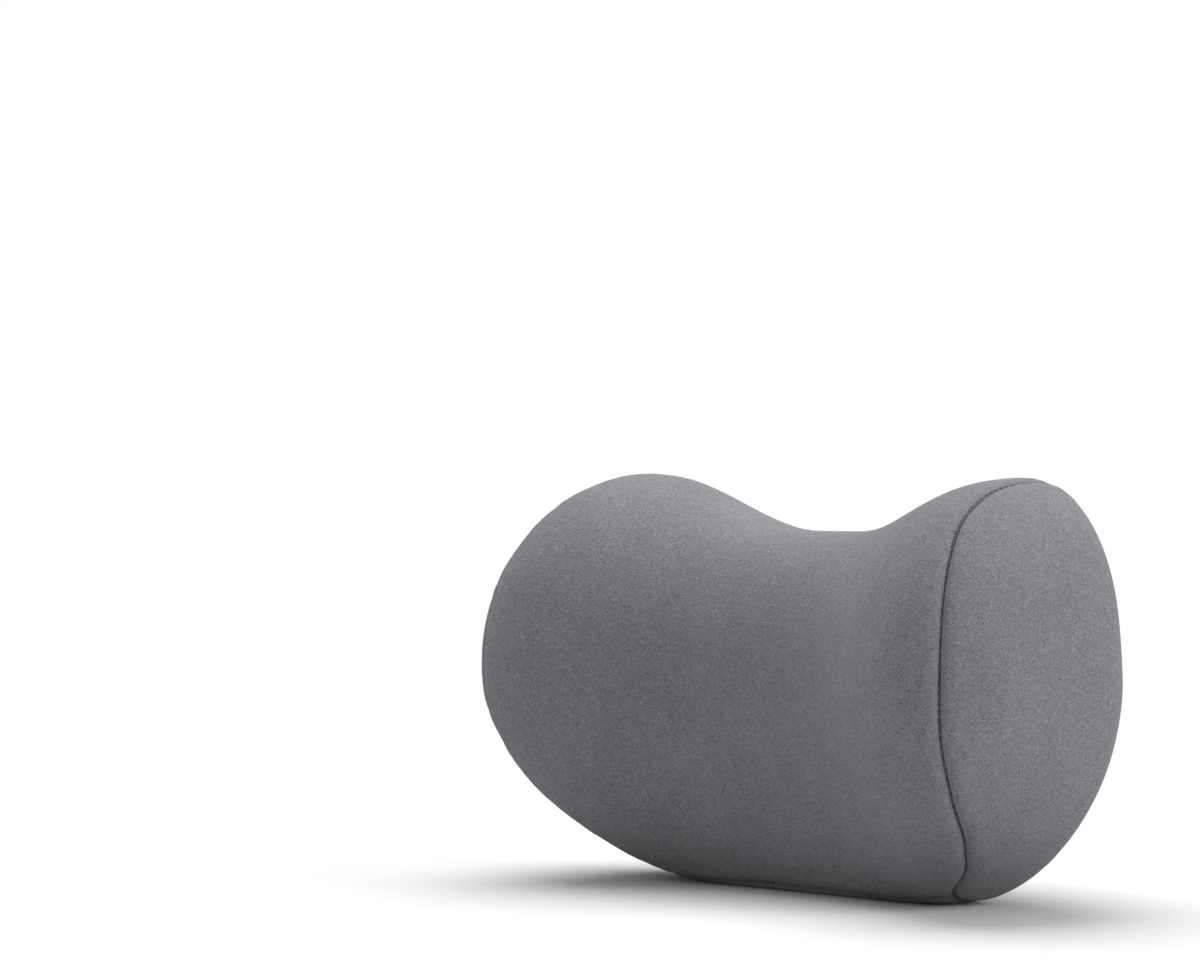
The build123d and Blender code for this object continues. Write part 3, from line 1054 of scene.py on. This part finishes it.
@dataclass
class PillowCover:
    """Sewn velour cover: five panels with sunk seams between them."""

    finishes: Finishes
    form: PillowForm = field(default_factory=PillowForm)
    seams: SeamLines = field(default_factory=SeamLines)
    cloth: float = 0.0016
    groove_depth: float = 0.0018
    groove_width: float = 0.0011
    rear_from: float = 0.05
    middle_z: float = 0.08
    slot_depth: float = 0.0006
    lip_height: float = 0.0004
    lip_at: float = 0.0055
    lip_width: float = 0.0035
    seam_reach: float = 0.02
    pucker: float = 0.00055
    gather_pitch: float = 165.0
    gather_reach: float = 0.0048
    gather_start: float = 0.0015
    roll_pitch: float = 26.0
    roll_height: float = 0.00045
    roll_clear: float = 0.004
    crease: float = 0.0006
    stitch_depth: float = 0.0014
    stitch: Bars = Bars(0.0034, 0.0024, 0.00026)
    # turned-in cloth under the seams: real cloth, but given the dark thread colour as
    # painted shade in the crease
    allowance_shade_depth: float = 0.0022
    allowance_shade: Bars = Bars(0.0012, 0.0019, 0.0006)
    seam_points: dict[str, list[Vector]] = field(default_factory=dict)

    def snap(self, points: np.ndarray, locked: np.ndarray, value: Field,
             allowed: Field) -> tuple[np.ndarray, np.ndarray]:
        """Move the nearest grid points onto the line where a value is 0.

        Args:
            points: the grid, moved in place.
            locked: grid points that already lie on a seam.
            value: function of the points that is 0 on the seam.
            allowed: function of the points that is true where the seam runs.

        Returns:
            The grid points that lie on this seam, and all that are locked.
        """
        now = value(points)
        free = allowed(points)
        best = np.full(now.shape, np.inf)
        target = points.copy()
        for axis in (0, 1):
            other = np.roll(points, -1, axis)
            far = np.roll(now, -1, axis)
            far_free = np.roll(free, -1, axis)
            far_lock = np.roll(locked, -1, axis)
            cross = (now * far < 0) & free & far_free
            if axis == 0:
                cross[-1] = False
            share = np.where(cross, now / np.where(cross, now - far, 1.0), 0.0)
            spot = points + (other - points) * share[..., None]
            near = cross & ~locked & ((share <= 0.5) | far_lock)
            take = near & (share < best)
            best = np.where(take, share, best)
            target = np.where(take[..., None], spot, target)
            near = cross & ~far_lock & ((share > 0.5) | locked)
            back = np.roll(near, 1, axis)
            share_back = np.roll(1.0 - share, 1, axis)
            spot_back = np.roll(spot, 1, axis)
            take = back & (share_back < best)
            best = np.where(take, share_back, best)
            target = np.where(take[..., None], spot_back, target)
        on = np.isfinite(best)
        points[...] = target
        return on, locked | on

    def build(self) -> list[bpy.types.Object]:
        """Build the five panels and note where their seams run.

        Returns:
            The five panels.
        """
        grid = self.form.grid()
        seams = self.seams
        locked = np.zeros(grid.shape[:2], bool)
        side_on, locked = self.snap(grid, locked, seams.side, seams.anywhere)
        back_on, locked = self.snap(grid, locked, seams.behind, seams.inboard)
        slot_on, locked = self.snap(grid, locked, seams.slot, seams.rear)
        level_on, locked = self.snap(grid, locked, seams.level, seams.beside_zip)
        values = [np.where(side_on, 0.0, seams.side(grid)),
                  np.where(back_on, 0.0, seams.behind(grid)),
                  np.where(slot_on, 0.0, seams.slot(grid)),
                  np.where(level_on, 0.0, seams.level(grid))]
        rows, columns = grid.shape[:2]
        points = np.vstack([grid.reshape(-1, 3), grid[0].mean(0)[None],
                            grid[-1].mean(0)[None]])
        flat = [np.concatenate([v.ravel(), [1.0, 1.0]]) for v in values]
        triangles = self.triangles(rows, columns, flat)
        normals = self.normals(points, triangles)
        closed_seam = (side_on | back_on | level_on)
        self.note_seams(grid, side_on, back_on, level_on)
        points = self.sculpt(points, normals,
                             np.append(closed_seam.ravel(), [False, False]),
                             np.append(slot_on.ravel(), [False, False]))
        normals = self.normals(points, triangles)
        labels = self.labels(triangles, flat, points)
        return [self.panel(panel, points, normals, triangles[labels == number])
                for number, panel in enumerate(Panel)]

    @staticmethod
    def triangles(rows: int, columns: int,
                  values: list[np.ndarray]) -> np.ndarray:
        """Triangles of the grid, none of them across a seam.

        Args:
            rows: number of sections.
            columns: number of points in each.
            values: for each seam, a value per point that is 0 on it.

        Returns:
            Point numbers of every triangle.
        """
        i, j = np.meshgrid(np.arange(rows - 1), np.arange(columns),
                           indexing="ij")
        a = (i * columns + j).ravel()
        b = ((i + 1) * columns + j).ravel()
        c = ((i + 1) * columns + (j + 1) % columns).ravel()
        d = (i * columns + (j + 1) % columns).ravel()

        def crossing(*corners: np.ndarray) -> np.ndarray:
            """How badly these triangles lie across the seams.

            Args:
                corners: point numbers of the triangles, corner by corner.

            Returns:
                A measure for each triangle, 0 where it crosses no seam.
            """
            bad = np.zeros(len(corners[0]))
            for value in values:
                stack = np.stack([value[k] for k in corners])
                bad += np.minimum(stack.max(0), -stack.min(0)).clip(0)
            return bad

        first = crossing(a, b, c) + crossing(a, c, d)
        second = crossing(a, b, d) + crossing(b, c, d)
        pick = (first <= second)[:, None]
        one = np.where(pick, np.stack([a, b, c], 1), np.stack([a, b, d], 1))
        two = np.where(pick, np.stack([a, c, d], 1), np.stack([b, c, d], 1))
        ring = np.arange(columns)
        low, high = rows * columns, rows * columns + 1
        start = np.stack([np.full(columns, low), ring,
                          (ring + 1) % columns], 1)
        last = (rows - 1) * columns
        end = np.stack([np.full(columns, high), last + (ring + 1) % columns,
                        last + ring], 1)
        return np.vstack([one, two, start, end])

    @staticmethod
    def normals(points: np.ndarray, triangles: np.ndarray) -> np.ndarray:
        """Outward unit normals of the surface at its points.

        Args:
            points: places of the surface's points.
            triangles: its triangles.

        Returns:
            One unit vector for each point.
        """
        a, b, c = (points[triangles[:, k]] for k in range(3))
        face = np.cross(b - a, c - a)
        total = np.zeros_like(points)
        for k in range(3):
            np.add.at(total, triangles[:, k], face)
        total /= np.linalg.norm(total, axis=1)[:, None].clip(1e-12)
        centre = points.mean(0)
        if ((points - centre) * total).sum() < 0:
            total = -total
        return total

    def note_seams(self, grid: np.ndarray, side_on: np.ndarray,
                   back_on: np.ndarray, level_on: np.ndarray) -> None:
        """Keep the points of each closed seam in order along it.

        Args:
            grid: points of the surface.
            side_on: which of them lie on the side seams.
            back_on: which lie on the seam behind the face panel.
            level_on: which lie on the seam beside the zip.
        """
        for word, sign in (("left", -1), ("right", 1)):
            spots = grid[side_on & (grid[..., 0] * sign > 0)]
            centre = spots.mean(0)
            angle = np.arctan2(spots[:, 2] - centre[2], spots[:, 1] - centre[1])
            self.seam_points[word] = [Vector(p) for p in spots[np.argsort(angle)]]
        spots = grid[back_on]
        for word, keep in (("under", spots[:, 2] < self.rear_from),
                           ("rear", spots[:, 2] >= self.rear_from)):
            part = spots[keep]
            self.seam_points[word] = [
                Vector(p) for p in part[np.argsort(part[:, 0])]]
        spots = grid[level_on]
        for word, sign in (("split_left", -1), ("split_right", 1)):
            part = spots[spots[:, 0] * sign > 0]
            self.seam_points[word] = [
                Vector(p) for p in part[np.argsort(part[:, 0])]]

    def sculpt(self, points: np.ndarray, normals: np.ndarray,
               seam: np.ndarray, slot: np.ndarray) -> np.ndarray:
        """Sink the seams, gather the cloth at them and let it roll gently.

        Args:
            points: points of the surface.
            normals: its outward directions.
            seam: which points lie on a closed seam.
            slot: which lie on the zip's opening.

        Returns:
            The moved points.
        """
        spots = np.nonzero(seam | slot)[0]
        tree = kdtree.KDTree(len(spots))
        for number in spots:
            tree.insert(Vector(points[number]), int(number))
        tree.balance()
        move = np.zeros(len(points))
        for number, point in enumerate(points):
            spot = Vector(point)
            near, index, gap = tree.find(spot)
            roll = noise.noise(spot * self.roll_pitch) * self.roll_height
            roll *= min(1.0, max(0.0, point[2] / self.roll_clear))
            move[number] = roll
            if gap > self.seam_reach:
                continue
            depth = self.groove_depth if seam[index] else self.slot_depth
            move[number] -= depth * math.exp(-(gap / self.groove_width) ** 1.3)
            lip = (gap - self.lip_at) / self.lip_width
            move[number] += self.lip_height * math.exp(-lip ** 2)
            gather = (noise.noise(near * self.gather_pitch)
                      + 0.5 * noise.noise(near * 2.0 * self.gather_pitch))
            move[number] += (self.pucker * gather
                             * math.exp(-gap / self.gather_reach)
                             * min(1.0, gap / self.gather_start))
        sculpted = points + normals * move[:, None]
        sculpted[:, 2] = np.maximum(sculpted[:, 2], 0.0)
        return sculpted

    @staticmethod
    def labels(triangles: np.ndarray, values: list[np.ndarray],
               points: np.ndarray) -> np.ndarray:
        """Number of the panel that each triangle belongs to, or -1.

        Args:
            triangles: point numbers of every triangle.
            values: for each seam, a value per point that is 0 on it.
            points: points of the surface.

        Returns:
            The number of the panel in Panel, for each triangle.
        """
        def sign(value: np.ndarray) -> np.ndarray:
            """Value of the corner that lies furthest from the seam.

            Args:
                value: a value per point that is 0 on the seam.

            Returns:
                One value for each triangle.
            """
            corners = value[triangles]
            pick = np.abs(corners).argmax(1)
            return corners[np.arange(len(corners)), pick]

        side, behind, slot, level = (sign(value) for value in values)
        right = points[triangles][:, :, 0].mean(1) > 0
        back = np.where(slot < 0, -1, np.where(level > 0, 3, 4))
        inner = np.where(behind < 0, 0, back)
        return np.where(side > 0, np.where(right, 2, 1), inner)

    def open_seam(self, outer: np.ndarray, triangles: np.ndarray,
                  rim: np.ndarray) -> np.ndarray:
        """Draw a panel's edge back a little, which leaves the fine dark crease.

        Args:
            outer: points of the panel's outside.
            triangles: its triangles, as numbers of those points.
            rim: numbers of the points on its edge.

        Returns:
            The points, with the edge drawn back by half the crease.
        """
        on_rim = np.zeros(len(outer), bool)
        on_rim[rim] = True
        total, many = np.zeros_like(outer), np.zeros(len(outer))
        for a in range(3):
            for b in range(3):
                if a == b:
                    continue
                inside = ~on_rim[triangles[:, b]]
                np.add.at(total, triangles[inside, a], outer[triangles[inside, b]])
                np.add.at(many, triangles[inside, a], 1)
        moved = outer.copy()
        found = on_rim & (many > 0)
        away = total[found] / many[found, None] - outer[found]
        away /= np.linalg.norm(away, axis=1)[:, None].clip(1e-9)
        moved[found] += away * self.crease / 2.0
        return moved

    def panel(self, panel: Panel, points: np.ndarray, normals: np.ndarray,
              triangles: np.ndarray) -> bpy.types.Object:
        """Make one closed panel of cloth and let it stand for its CAD node.

        Args:
            panel: which panel.
            points: points of the whole surface.
            normals: its outward directions.
            triangles: the triangles of this panel.

        Returns:
            The new piece.
        """
        used, local = np.unique(triangles, return_inverse=True)
        local = local.reshape(-1, 3)
        count = len(used)
        outer = points[used]
        inner = outer - normals[used] * self.cloth
        edges = np.concatenate([local[:, [0, 1]], local[:, [1, 2]],
                                local[:, [2, 0]]])
        key = edges[:, 0].astype(np.int64) * count + edges[:, 1]
        back = edges[:, 1].astype(np.int64) * count + edges[:, 0]
        rim = edges[~np.isin(key, back)]
        outer = self.open_seam(outer, local, np.unique(rim))
        walls = np.stack([rim[:, 1], rim[:, 0], rim[:, 0] + count,
                          rim[:, 1] + count], 1)
        faces = ([tuple(t) for t in local]
                 + [tuple(t) for t in local[:, ::-1] + count]
                 + [tuple(q) for q in walls])
        piece = new_piece(panel.value + "_velour", np.vstack([outer, inner]),
                          faces, self.finishes["velour"])
        check = bmesh.new()
        check.from_mesh(piece.data)
        if check.calc_volume(signed=True) < 0:
            bmesh.ops.reverse_faces(check, faces=check.faces)
            check.to_mesh(piece.data)
        check.free()
        piece.data.normals_split_custom_set_from_vertices(
            [tuple(n) for n in np.vstack([normals[used], -normals[used]])])
        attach(piece, "pillow")
        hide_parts(panel.value)
        LOG.info("%s: %d triangles", piece.name, len(faces) * 2)
        return piece

    def stitches(self) -> None:
        """Lay the thread and the turned-in cloth at the bottom of the seams; the
        turned-in cloth takes the dark thread finish as painted shade that keeps the
        crease dark.
        """
        centre = Vector((0.0, 0.0, self.middle_z))
        thread = self.finishes["seam_thread"]
        for name, depth, bars in (
                ("seam_stitches", self.stitch_depth, self.stitch),
                # the second run is the turned-in cloth, coloured like dark thread as
                # painted shade in the seam crease
                ("seam_allowance", self.allowance_shade_depth, self.allowance_shade)):
            paths = [([point + (centre - point).normalized() * depth
                       for point in points], seam in ("left", "right"))
                     for seam, points in self.seam_points.items()
                     if len(points) > 3]
            sewn(name, paths, bars, thread)


# --------------------------------------------------------------------------
# Zip
# --------------------------------------------------------------------------
def swept_band(name: str, sections: Sequence[Sequence[Vector]],
               runs: Sequence[float], finish: bpy.types.Material
               ) -> bpy.types.Object:
    """Closed band through its sections, with U along it and V across.

    Args:
        name: name of the piece.
        sections: rings of points, all of one count, from end to end.
        runs: distance along the band of each section, in metres.
        finish: material of the band.

    Returns:
        The new piece, with caps at its two ends.
    """
    ring = len(sections[0])
    points = [point for section in sections for point in section]
    faces = []
    for row in range(len(sections) - 1):
        for k in range(ring):
            low, high = row * ring, (row + 1) * ring
            faces.append((low + k, low + (k + 1) % ring,
                          high + (k + 1) % ring, high + k))
    faces.append(tuple(reversed(range(ring))))
    last = (len(sections) - 1) * ring
    faces.append(tuple(last + k for k in range(ring)))
    shape = bmesh.new()
    verts = [shape.verts.new(point) for point in points]
    layer = shape.loops.layers.uv.new("weave")
    for face in faces:
        made = shape.faces.new([verts[k] for k in face])
        for loop, k in zip(made.loops, face):
            spot = (k % ring) / ring
            loop[layer].uv = (runs[k // ring], abs(spot * 2.0 - 1.0))
    shape.normal_update()
    if shape.calc_volume(signed=True) < 0:
        bmesh.ops.reverse_faces(shape, faces=shape.faces)
    mesh = bpy.data.meshes.new(name)
    shape.to_mesh(mesh)
    shape.free()
    mesh.materials.append(finish)
    mesh.shade_smooth()
    mesh.set_sharp_from_angle(angle=math.radians(60.0))
    piece = bpy.data.objects.new(name, mesh)
    bpy.context.scene.collection.objects.link(piece)
    return piece


def band_ring(middle: Vector, out: Vector, across: Vector, thick: float,
              width: float, steps: int = 12) -> list[Vector]:
    """Rounded flat section of a band, from one edge round to the other.

    Args:
        middle: middle of the section.
        out: direction through its thickness.
        across: direction over its width.
        thick: thickness of the band.
        width: width of the band.
        steps: points on each flat side.

    Returns:
        The points of the section.
    """
    half, edge = width / 2.0 - thick / 2.0, thick / 2.0
    ring = []
    for k in range(steps):
        ring.append(middle + out * edge + across * (half - 2 * half * k / (steps - 1)))
    ring.append(middle - across * (half + edge * 0.8))
    for k in range(steps):
        ring.append(middle - out * edge - across * (half - 2 * half * k / (steps - 1)))
    ring.append(middle + across * (half + edge * 0.8))
    return ring


@dataclass
class ZipFastener:
    """Coil zip across the lower back, with its slider at the closed end."""

    finishes: Finishes
    seams: SeamLines = field(default_factory=SeamLines)
    tape: float = 0.0007
    tape_height: float = 0.007
    tape_shift: float = 0.00015
    tape_trim: float = 0.0002
    tape_steps: int = 60
    reach: float = math.radians(9.357)
    coil_out: float = 0.00075
    coil_end: float = 0.0182
    coil_height: float = 0.00062
    turns: Bars = Bars(0.00105, 0.00185, 0.00042)
    sewing_heights: tuple[float, float] = (0.0023, 0.0062)
    sewing: Bars = Bars(0.0022, 0.0016, 0.00018)
    sewing_out: float = 0.0001
    path_steps: int = 80
    slider_rounding: float = 0.00025
    rounding: float = 0.0002

    def tapes(self) -> None:
        """Weave the two tapes."""
        across = self.seams.zip_axis()
        for word, sign in (("upper", 1), ("lower", -1)):
            sections, runs = [], []
            for angle in evenly(-self.reach, self.reach, self.tape_steps):
                middle = self.seams.zip_point(
                    angle, -self.tape / 2,
                    sign * (self.tape_height + self.tape_shift) / 2)
                out = (self.seams.zip_point(angle, 0.01, 0.0)
                       - self.seams.zip_point(angle, 0.0, 0.0)).normalized()
                sections.append(band_ring(middle, out, across, self.tape,
                                          self.tape_height - self.tape_trim))
                runs.append(angle * self.seams.zip_radius)
            piece = swept_band("zip_tape_" + word + "_weave", sections, runs,
                               self.finishes["tape"])
            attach(piece, "pillow")
            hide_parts("zip_tape_" + word)

    def coils(self) -> None:
        """Set the turns of the two coils and their sewing."""
        across = self.seams.zip_axis()
        start, end = self.coil_end - self.reach, self.reach - self.coil_end
        for word, sign in (("upper", 1), ("lower", -1)):
            shift = 0.5 * self.turns.spacing / self.seams.zip_radius * (sign > 0)
            points = [self.seams.zip_point(angle + shift, self.coil_out,
                                           sign * self.coil_height)
                      for angle in evenly(start, end, self.path_steps)]
            piece = sewn("zip_turns_" + word, [(points, False)], self.turns,
                         self.finishes["nylon"], Lay.ACROSS,
                         tuple(across))
            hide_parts("zip_coil_" + word)
            lines = [([self.seams.zip_point(angle, self.sewing_out, sign * height)
                       for angle in evenly(start, end, self.path_steps)], False)
                     for height in self.sewing_heights]
            sewn("zip_stitches_" + word, lines, self.sewing,
                 self.finishes["seam_thread"])

    def metal(self) -> None:
        """Round off the slider, its pull tab and the end stops."""
        enamel = self.finishes["enamel"]
        softened("zip_slider", "zip_slider", enamel, self.slider_rounding)
        softened("zip_pull_tab", "zip_pull_tab", enamel, self.rounding)
        for word in ("left", "right"):
            softened("zip_stop_" + word, "pillow", enamel, self.rounding)

    def build(self) -> None:
        """Build the whole zip."""
        self.tapes()
        self.coils()
        self.metal()


# --------------------------------------------------------------------------
# Strap and buckle
# --------------------------------------------------------------------------
@dataclass
class StrapSet:
    """Elastic webbing sewn to the rear seams, with its keeper and patches."""

    finishes: Finishes
    thick: float = 0.0015
    width: float = 0.025
    step: float = 0.0036
    straight: float = 0.022
    end_x: float = 0.112
    bar_x: float = 0.020
    fold_end: float = 0.062
    tail_end: float = 0.092
    patch_sewing: Bars = Bars(0.0026, 0.0019, 0.00028)
    tack_sewing: Bars = Bars(0.0022, 0.0017, 0.00028)
    inner_steps: int = 43
    turn_steps: int = 12
    outer_steps: int = 30
    edge_steps: int = 16
    patch_inner: float = 0.0115
    patch_outer: float = 0.0015
    patch_half: float = 0.0138
    patch_lift: float = 0.00108
    patch_rounding: float = 0.0004
    tacks: tuple[tuple[int, float], ...] = (
        (-1, 0.058), (-1, 0.054), (1, 0.088), (1, 0.0855))
    tack_length: float = 0.021
    tack_lift: float = 0.0001
    keeper_rounding: float = 0.0002
    strap_y: float = 0.06173
    radius: float = 0.207774
    height: float = 0.080

    def on_arc(self, side: int, x: float, lift: float) -> tuple[Vector, Vector]:
        """Point on the strap's line at this X, with the direction outward.

        Args:
            side: -1 on the left and 1 on the right.
            x: distance from the middle of the pillow.
            lift: distance outside the inner layer.

        Returns:
            The point and the direction.
        """
        centre = Vector((self.straight, self.strap_y - self.radius, 0))
        radius = self.radius + lift
        turn = math.asin(max(0.0, x - self.straight) / radius)
        out = Vector((math.sin(turn), math.cos(turn), 0))
        spot = centre + out * radius
        return (Vector((side * spot.x, spot.y, self.height)),
                Vector((side * out.x, out.y, 0)))

    def webbing(self, side: int, word: str, fold_end: float) -> None:
        """Weave one strap from its sewn end, round the bar and back.

        Args:
            side: -1 on the left and 1 on the right.
            word: the side's name.
            fold_end: X at which the outer layer ends.
        """
        line = [self.on_arc(side, x, 0.0)[0]
                for x in evenly(self.end_x, self.straight, self.inner_steps)]
        middle = Vector((side * self.bar_x, self.strap_y + self.step / 2,
                         self.height))
        for turn in evenly(0.0, math.pi, self.turn_steps):
            out = Vector((-side * math.sin(turn), -math.cos(turn), 0))
            line.append(middle + out * self.step / 2)
        line += [self.on_arc(side, x, self.step)[0]
                 for x in evenly(self.straight, fold_end, self.outer_steps)]
        sections, runs, run = [], [], 0.0
        up = Vector((0, 0, 1))
        for k, spot in enumerate(line):
            before, after = line[max(0, k - 1)], line[min(len(line) - 1, k + 1)]
            out = (after - before).normalized().cross(up).normalized()
            run += (spot - before).length
            runs.append(run)
            sections.append(band_ring(spot, out, up, self.thick, self.width,
                                      self.edge_steps))
        piece = swept_band("strap_" + word + "_band", sections, runs,
                           self.finishes["band"])
        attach(piece, "pillow")
        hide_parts("strap_" + word + "_webbing")
        LOG.info("%s: %d sections", piece.name, len(sections))

    def patches(self) -> None:
        """Sew the end patches down with a box and a cross of stitches."""
        for side, word in ((-1, "left"), (1, "right")):
            softened("strap_patch_" + word, "pillow", self.finishes["band"],
                     self.patch_rounding)
            low, high = self.end_x - self.patch_inner, self.end_x + self.patch_outer
            lift = self.thick / 2 + self.patch_lift

            def spot(x: float, z: float) -> Vector:
                """Point on the outside of the patch."""
                point, _ = self.on_arc(side, x, lift)
                return point + Vector((0, 0, z))

            def line(a: tuple[float, float], b: tuple[float, float]
                     ) -> tuple[list[Vector], bool]:
                """Row of points between two corners of the patch."""
                return ([spot(x, z) for x, z in zip(evenly(a[0], b[0], 12),
                                                    evenly(a[1], b[1], 12))], False)

            z = self.patch_half
            paths = [line((low, -z), (low, z)), line((low, z), (high, z)),
                     line((high, z), (high, -z)), line((high, -z), (low, -z)),
                     line((low, -z), (high, z)), line((low, z), (high, -z))]
            sewn("patch_stitches_" + word, paths, self.patch_sewing,
                 self.finishes["strap_thread"])

    def bar_tacks(self) -> None:
        """Tack the folded left strap and the end of the tail."""
        up = Vector((0, 0, 1))
        paths = []
        half = self.tack_length / 2
        for side, x in self.tacks:
            point, out = self.on_arc(side, x, self.step)
            point += out * (self.thick / 2 + self.tack_lift)
            paths.append(([point + up * z for z in evenly(-half, half, 12)],
                          False))
        sewn("strap_tacks", paths, self.tack_sewing,
             self.finishes["strap_thread"])

    def build(self) -> None:
        """Build the straps, patches, tacks and keeper."""
        self.webbing(-1, "left", self.fold_end)
        self.webbing(1, "right", self.tail_end)
        self.patches()
        self.bar_tacks()
        softened("strap_keeper", "strap_keeper", self.finishes["acetal"],
                 self.keeper_rounding)


@dataclass
class Buckle:
    """Side-release buckle with its two squeezed arms."""

    finishes: Finishes
    rounding: float = 0.0003

    def build(self) -> None:
        """Round off the four mouldings."""
        for node, body in (("buckle_socket", "pillow"),
                           ("buckle_plug", "pillow"),
                           ("buckle_arm_upper", "buckle_arm_upper"),
                           ("buckle_arm_lower", "buckle_arm_lower")):
            softened(node, body, self.finishes["acetal"], self.rounding)


@dataclass
class Inside:
    """Foam core and its liner, which stay as the CAD made them."""

    finishes: Finishes

    def build(self) -> None:
        """Give the sealed inner pieces their own finishes."""
        for node, finish in (("foam_core", "foam"), ("liner_front", "liner"),
                             ("liner_back", "liner")):
            mesh = bpy.data.objects[node].data
            mesh.materials.clear()
            mesh.materials.append(self.finishes[finish])


# --------------------------------------------------------------------------
# Studio
# --------------------------------------------------------------------------
@dataclass(frozen=True)
class Lamp:
    """One square soft lamp, sized in metres and watts."""

    name: str
    at: Place
    aim: Place
    size: float
    power: float

    def hang(self) -> None:
        """Hang the lamp and turn it to what it lights."""
        data = bpy.data.lights.new(self.name, "AREA")
        data.shape = "SQUARE"
        data.size = self.size
        data.energy = self.power
        lamp = bpy.data.objects.new(self.name, data)
        lamp.location = self.at
        heading = Vector(self.aim) - Vector(self.at)
        lamp.rotation_euler = heading.to_track_quat("-Z", "Y").to_euler()
        bpy.context.scene.collection.objects.link(lamp)


@dataclass
class Studio:
    """White floor and surround, soft lamps and a long-lensed camera."""

    camera_at: Place = (1.1290, -1.2397, 0.1787)
    turn: float = 45.18
    dip: float = 0.63
    lens: float = 129.1
    sensor: float = 36.0
    sight: float = 200.0
    floor_reach: float = 30.0
    surround: float = 0.38
    lamps: tuple[Lamp, ...] = (
        Lamp("overhead", (-0.4, 0.2, 1.55), (0.0, 0.0, 0.05), 1.5, 22.5),
        Lamp("right", (1.7, 0.6, 0.7), (0.0, 0.0, 0.08), 0.9, 15.0))
    near: float = 0.22
    far: float = 0.60
    bounced: Colour = (0.62, 0.62, 0.62, 1.0)
    seen: Colour = srgb(250, 250, 251)

    def floor(self) -> None:
        """Lay the floor, which keeps the pillow's shadow."""
        finish = self.floor_finish()
        reach = self.floor_reach
        piece = new_piece("studio_floor",
                          [(-reach, -reach, 0), (reach, -reach, 0),
                           (reach, reach, 0), (-reach, reach, 0)],
                          [(0, 1, 2, 3)], finish)

    def floor_finish(self) -> bpy.types.Material:
        """Matt white near the pillow, going over to the plain white surround.

        Returns:
            The floor's material.
        """
        bench = Bench("studio_floor")
        path = bench.node("ShaderNodeLightPath")["Is Camera Ray"]
        tone = bench.blend(path, self.bounced, self.seen)
        matt = bench.node("ShaderNodeBsdfDiffuse", None, {"Color": tone})["BSDF"]
        glow = bench.node("ShaderNodeEmission", None,
                          {"Color": WHITE, "Strength": 1.0})["Emission"]
        far = bench.node("ShaderNodeVectorMath", {"operation": "LENGTH"},
                         {0: bench.node("ShaderNodeTexCoord")["Object"]})["Value"]
        share = bench.node(
            "ShaderNodeMapRange", {"interpolation_type": "SMOOTHSTEP"},
            {"Value": far, "From Min": self.near, "From Max": self.far})["Result"]
        mix = bench.node("ShaderNodeMixShader", None,
                         {0: share * path, 1: matt, 2: glow})["Shader"]
        end = bench.tree.nodes.new("ShaderNodeOutputMaterial")
        bench.tree.links.new(mix.socket, end.inputs["Surface"])
        return bench.material

    def world(self) -> None:
        """Surround that is white to the camera and plain light to the rest."""
        world = bpy.data.worlds.new("studio")
        bpy.context.scene.world = world
        world.use_nodes = True
        tree = world.node_tree
        tree.nodes.clear()
        path = tree.nodes.new("ShaderNodeLightPath")
        seen = tree.nodes.new("ShaderNodeBackground")
        seen.inputs["Strength"].default_value = 1.0
        seen.inputs["Color"].default_value = WHITE
        light = tree.nodes.new("ShaderNodeBackground")
        light.inputs["Strength"].default_value = self.surround
        light.inputs["Color"].default_value = WHITE
        glossy = tree.nodes.new("ShaderNodeMath")
        glossy.operation = "MAXIMUM"
        tree.links.new(path.outputs["Is Camera Ray"], glossy.inputs[0])
        tree.links.new(path.outputs["Is Glossy Ray"], glossy.inputs[1])
        mix = tree.nodes.new("ShaderNodeMixShader")
        tree.links.new(glossy.outputs[0], mix.inputs["Fac"])
        tree.links.new(light.outputs[0], mix.inputs[1])
        tree.links.new(seen.outputs[0], mix.inputs[2])
        end = tree.nodes.new("ShaderNodeOutputWorld")
        tree.links.new(mix.outputs[0], end.inputs["Surface"])

    def camera(self) -> None:
        """Set the camera."""
        data = bpy.data.cameras.new("camera")
        data.lens = self.lens
        data.sensor_width = self.sensor
        data.clip_end = self.sight
        camera = bpy.data.objects.new("camera", data)
        camera.location = self.camera_at
        camera.rotation_euler = (math.radians(90.0 - self.dip), 0.0,
                                 math.radians(self.turn))
        bpy.context.scene.collection.objects.link(camera)
        bpy.context.scene.camera = camera

    def build(self) -> None:
        """Set up the whole studio."""
        self.floor()
        self.world()
        for lamp in self.lamps:
            lamp.hang()
        self.camera()
        scene = bpy.context.scene
        scene.view_settings.view_transform = "Standard"


def main() -> None:
    """Build every sub-assembly in order and note the sizes."""
    logging.basicConfig(level=logging.INFO, format="%(name)s %(message)s")
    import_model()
    finishes = Finishes()
    cover = PillowCover(finishes)
    panels = cover.build()
    LOG.info("cover: %d panels", len(panels))
    cover.stitches()
    Inside(finishes).build()
    ZipFastener(finishes).build()
    LOG.info("zip built")
    StrapSet(finishes).build()
    Buckle(finishes).build()
    LOG.info("strap and buckle built")
    Studio().build()


if __name__ == "__main__":
    main()
